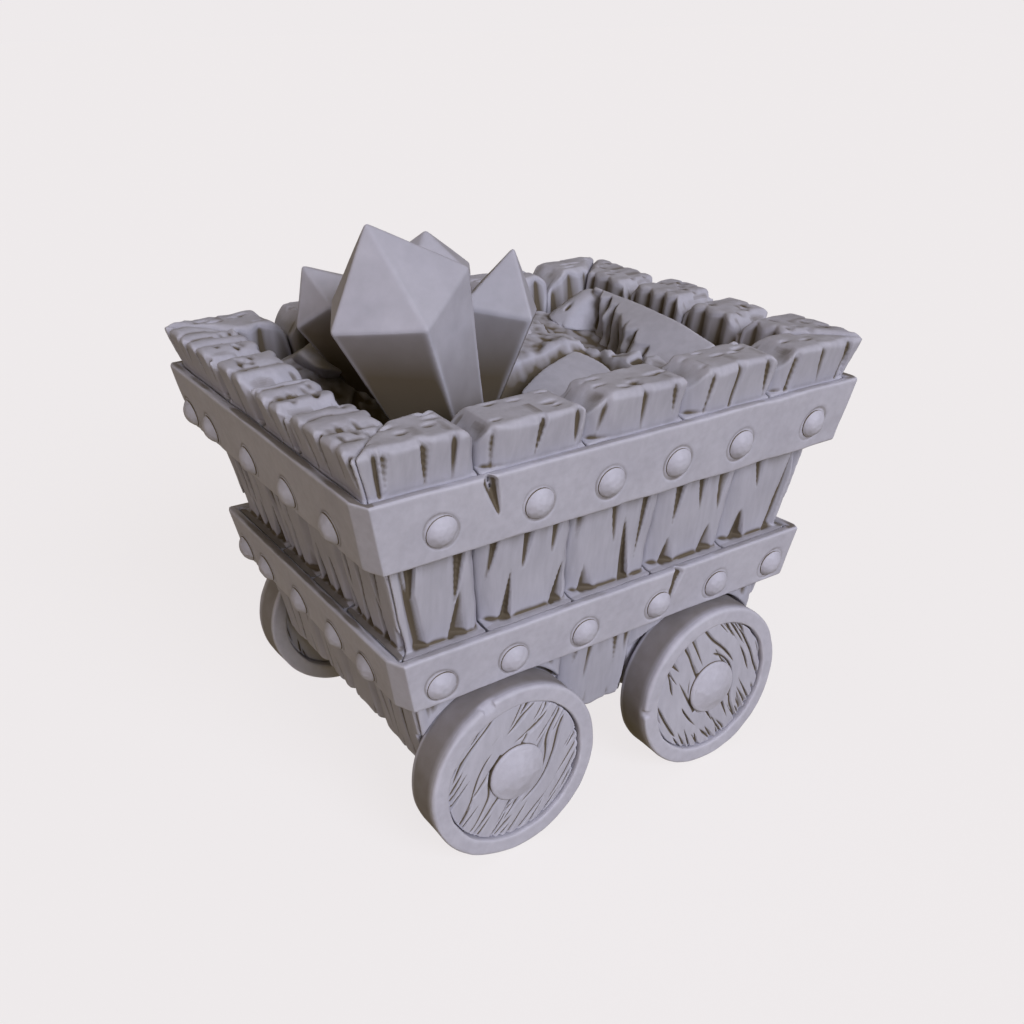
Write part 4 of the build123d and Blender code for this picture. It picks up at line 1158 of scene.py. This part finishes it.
def pressed_stones(rng, u, v):
    """Depth of stones pressed against a wall: each stands at its own depth, with a gap round it."""
    jitter = rng.uniform(0.05, 0.95, (3, 4096))
    u, v = u / STONE, v / STONE
    cell_u, cell_v = np.floor(u), np.floor(v)
    nearest = second = 9.0
    depth = 0.0
    for du in (-1, 0, 1):
        for dv in (-1, 0, 1):
            key = ((cell_u + du) * 73 + (cell_v + dv) * 1319).astype(int) % 4096
            away = np.hypot(u - cell_u - du - jitter[0][key], v - cell_v - dv - jitter[1][key])
            depth = np.where(away < nearest, jitter[2][key], depth)
            nearest, second = np.minimum(nearest, away), np.minimum(second, np.maximum(nearest, away))
    gap = np.clip(1 - (second - nearest) / 0.16, 0, 1)
    grit = rough(rng, (u, v), 0.0018, 0.4, 3)
    return (0.007 * gap + 0.008 * depth + 0.008 * nearest + grit).astype(np.float32)


def heap_surface(xs, ys):
    """Height of the CAD heap's top over a grid, by dropping rays on its mesh, carried on past its edge."""
    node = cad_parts["ore_heap"]
    tree = BVHTree.FromPolygons([v.co for v in node.data.vertices],
                                [p.vertices for p in node.data.polygons])
    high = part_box("ore_heap")[1].z + 0.1
    heights = np.full((len(xs), len(ys)), np.nan, np.float32)
    for i, x in enumerate(xs):
        for j, y in enumerate(ys):
            hit = tree.ray_cast(Vector((x, y, high)), Vector((0, 0, -1)))
            if hit[0] is not None:
                heights[i, j] = hit[0].z
    while np.isnan(heights).any():
        for axis in (0, 1):
            for shift in (1, -1):
                heights = np.where(np.isnan(heights), np.roll(heights, shift, axis), heights)
    return heights


def make_load(materials):
    """Crystals, rocks and the heap."""
    crystals = ("large_crystal", "right_crystal", "back_crystal", "left_crystal")
    pieces = [("facet", node, [carve_crystal(node, 500 + i)], "crystal") for i, node in enumerate(crystals)]
    rocks = [carve_loose_rock(solid, 610 + i) for i, solid in enumerate(separate_solids("loose_rocks"))]
    pieces += [("split", "ridge_rock", [carve_ridge(600)], "ore"),
               ("split", "front_slab", [carve_front_slab(601)], "ore"),
               ("split", "loose_rocks", rocks, "ore")]
    for prefix, node, parts, finish in pieces:
        add_piece(f"{prefix}_{node}", parts, materials[finish], "load", [node], finish)
    add_piece("ore_blocks", [carve_heap(700)], materials["ore"], "load", ["ore_heap"], "ore")


# ---- floor ----

BOARD_GRAIN = 0.034             # width of the grain in a floor board


def make_floor(materials):
    """Floor boards with worn edges and grain along them."""
    for i in range(4):
        node = f"floor_board_{i + 1}"
        rng = np.random.default_rng(800 + i)
        block = Block(*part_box(node), VOXEL * 1.2)
        x, y, _ = block.grid
        field = hull_field(block, node_points(node), 0.006)
        wave = y / BOARD_GRAIN + 0.5 * lattice_noise(rng, (x * 0.25, y), 0.06, 2)
        grain = 0.004 * np.clip(1 - np.abs(np.sin(pi * wave)) * 2.5, 0, 1)
        field = field + grain + rough(rng, (x * 0.3, y), 0.0015, 0.05, 2)
        add_piece(f"worn_{node}", [block.mesh(field)], materials["floor_timber"], "root", [node],
                  "floor_timber")


# ---- underframe: CAD shapes with their own finishes ----

def finish_hidden(materials):
    """Finishes for the CAD nodes that show as they are."""
    finishes = {"sill": "wall_timber", "axle": "steel", "clip": "steel", "washers": "steel",
                "nuts": "steel", "nails": "steel", "hub_bush": "bronze"}
    for node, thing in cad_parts.items():
        for word, finish in finishes.items():
            if word in node:
                thing.data.materials.clear()
                thing.data.materials.append(materials[finish])


# ---- stage ----

FLOOR_REACH = 40.0


def make_floor_plane():
    """Pale floor under the cart, which throws no light on it."""
    mesh = bpy.data.meshes.new("floor")
    corners = [(x * FLOOR_REACH, y * FLOOR_REACH, 0) for x, y in ((-1, -1), (1, -1), (1, 1), (-1, 1))]
    mesh.from_pydata(corners, [], [(0, 1, 2, 3)])
    floor = new_object("floor", mesh)
    material, _, shader = new_material("floor")
    for socket, value in (("Base Color", (0.10, 0.10, 0.10, 1)), ("Roughness", 0.9),
                          ("Specular IOR Level", 0.0), ("Emission Color", (0.797, 0.766, 0.773, 1)),
                          ("Emission Strength", 1.0)):
        shader.inputs[socket].default_value = value
    mesh.materials.append(material)
    floor.visible_diffuse = False
    floor.visible_glossy = False
    floor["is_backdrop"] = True


def make_world():
    """Pale background for the camera, and a warm dim fill for everything else."""
    world = bpy.data.worlds.new("studio")
    bpy.context.scene.world = world
    world.use_nodes = True
    world.node_tree.nodes.clear()
    n = Nodes(world.node_tree)
    seen = n.add("Background", Color=(0.855, 0.823, 0.831, 1))
    fill = n.add("Background", Color=(0.19, 0.155, 0.09, 1))
    choice = n.add("MixShader")
    n.link(n.add("LightPath").outputs["Is Camera Ray"], choice, 0)
    n.link(fill.outputs[0], choice, 1)
    n.link(seen.outputs[0], choice, 2)
    n.link(choice.outputs[0], n.add("OutputWorld"), 0)


def make_stage():
    """Floor, world, soft cool key from the front, a weaker lamp from the left, and the camera."""
    scene = bpy.context.scene
    scene.view_settings.view_transform = "Standard"
    make_floor_plane()
    make_world()
    for name, direction, strength, colour, angle in (
            ("key", (0.0, -0.85, 0.53), 2.90, (0.80, 0.832, 0.97), 32),
            ("left", (-0.97, -0.12, 0.14), 0.52, (0.93, 0.88, 1.0), 30)):
        lamp = bpy.data.lights.new(name, "SUN")
        lamp.energy = strength
        lamp.color = colour
        lamp.angle = radians(angle)
        light = new_object(name, lamp)
        light.rotation_euler = Vector(direction).to_track_quat("Z", "Y").to_euler()
    lens = bpy.data.cameras.new("camera")
    lens.sensor_width = 36.0
    lens.lens = 38.605
    camera = new_object("camera", lens)
    camera.location = (-1.2857, -1.9188, 1.6492)
    camera.rotation_euler = (radians(90 - 25.576), 0, radians(-34.085))
    scene.camera = camera


def main():
    make_stage()
    materials = make_materials()
    make_planks(materials)
    make_hoops(materials)
    make_wheels(materials)
    make_load(materials)
    make_floor(materials)
    finish_hidden(materials)
    bounds = [[list(corner) for corner in box] for box in (CAD_BOUNDS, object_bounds())]


main()
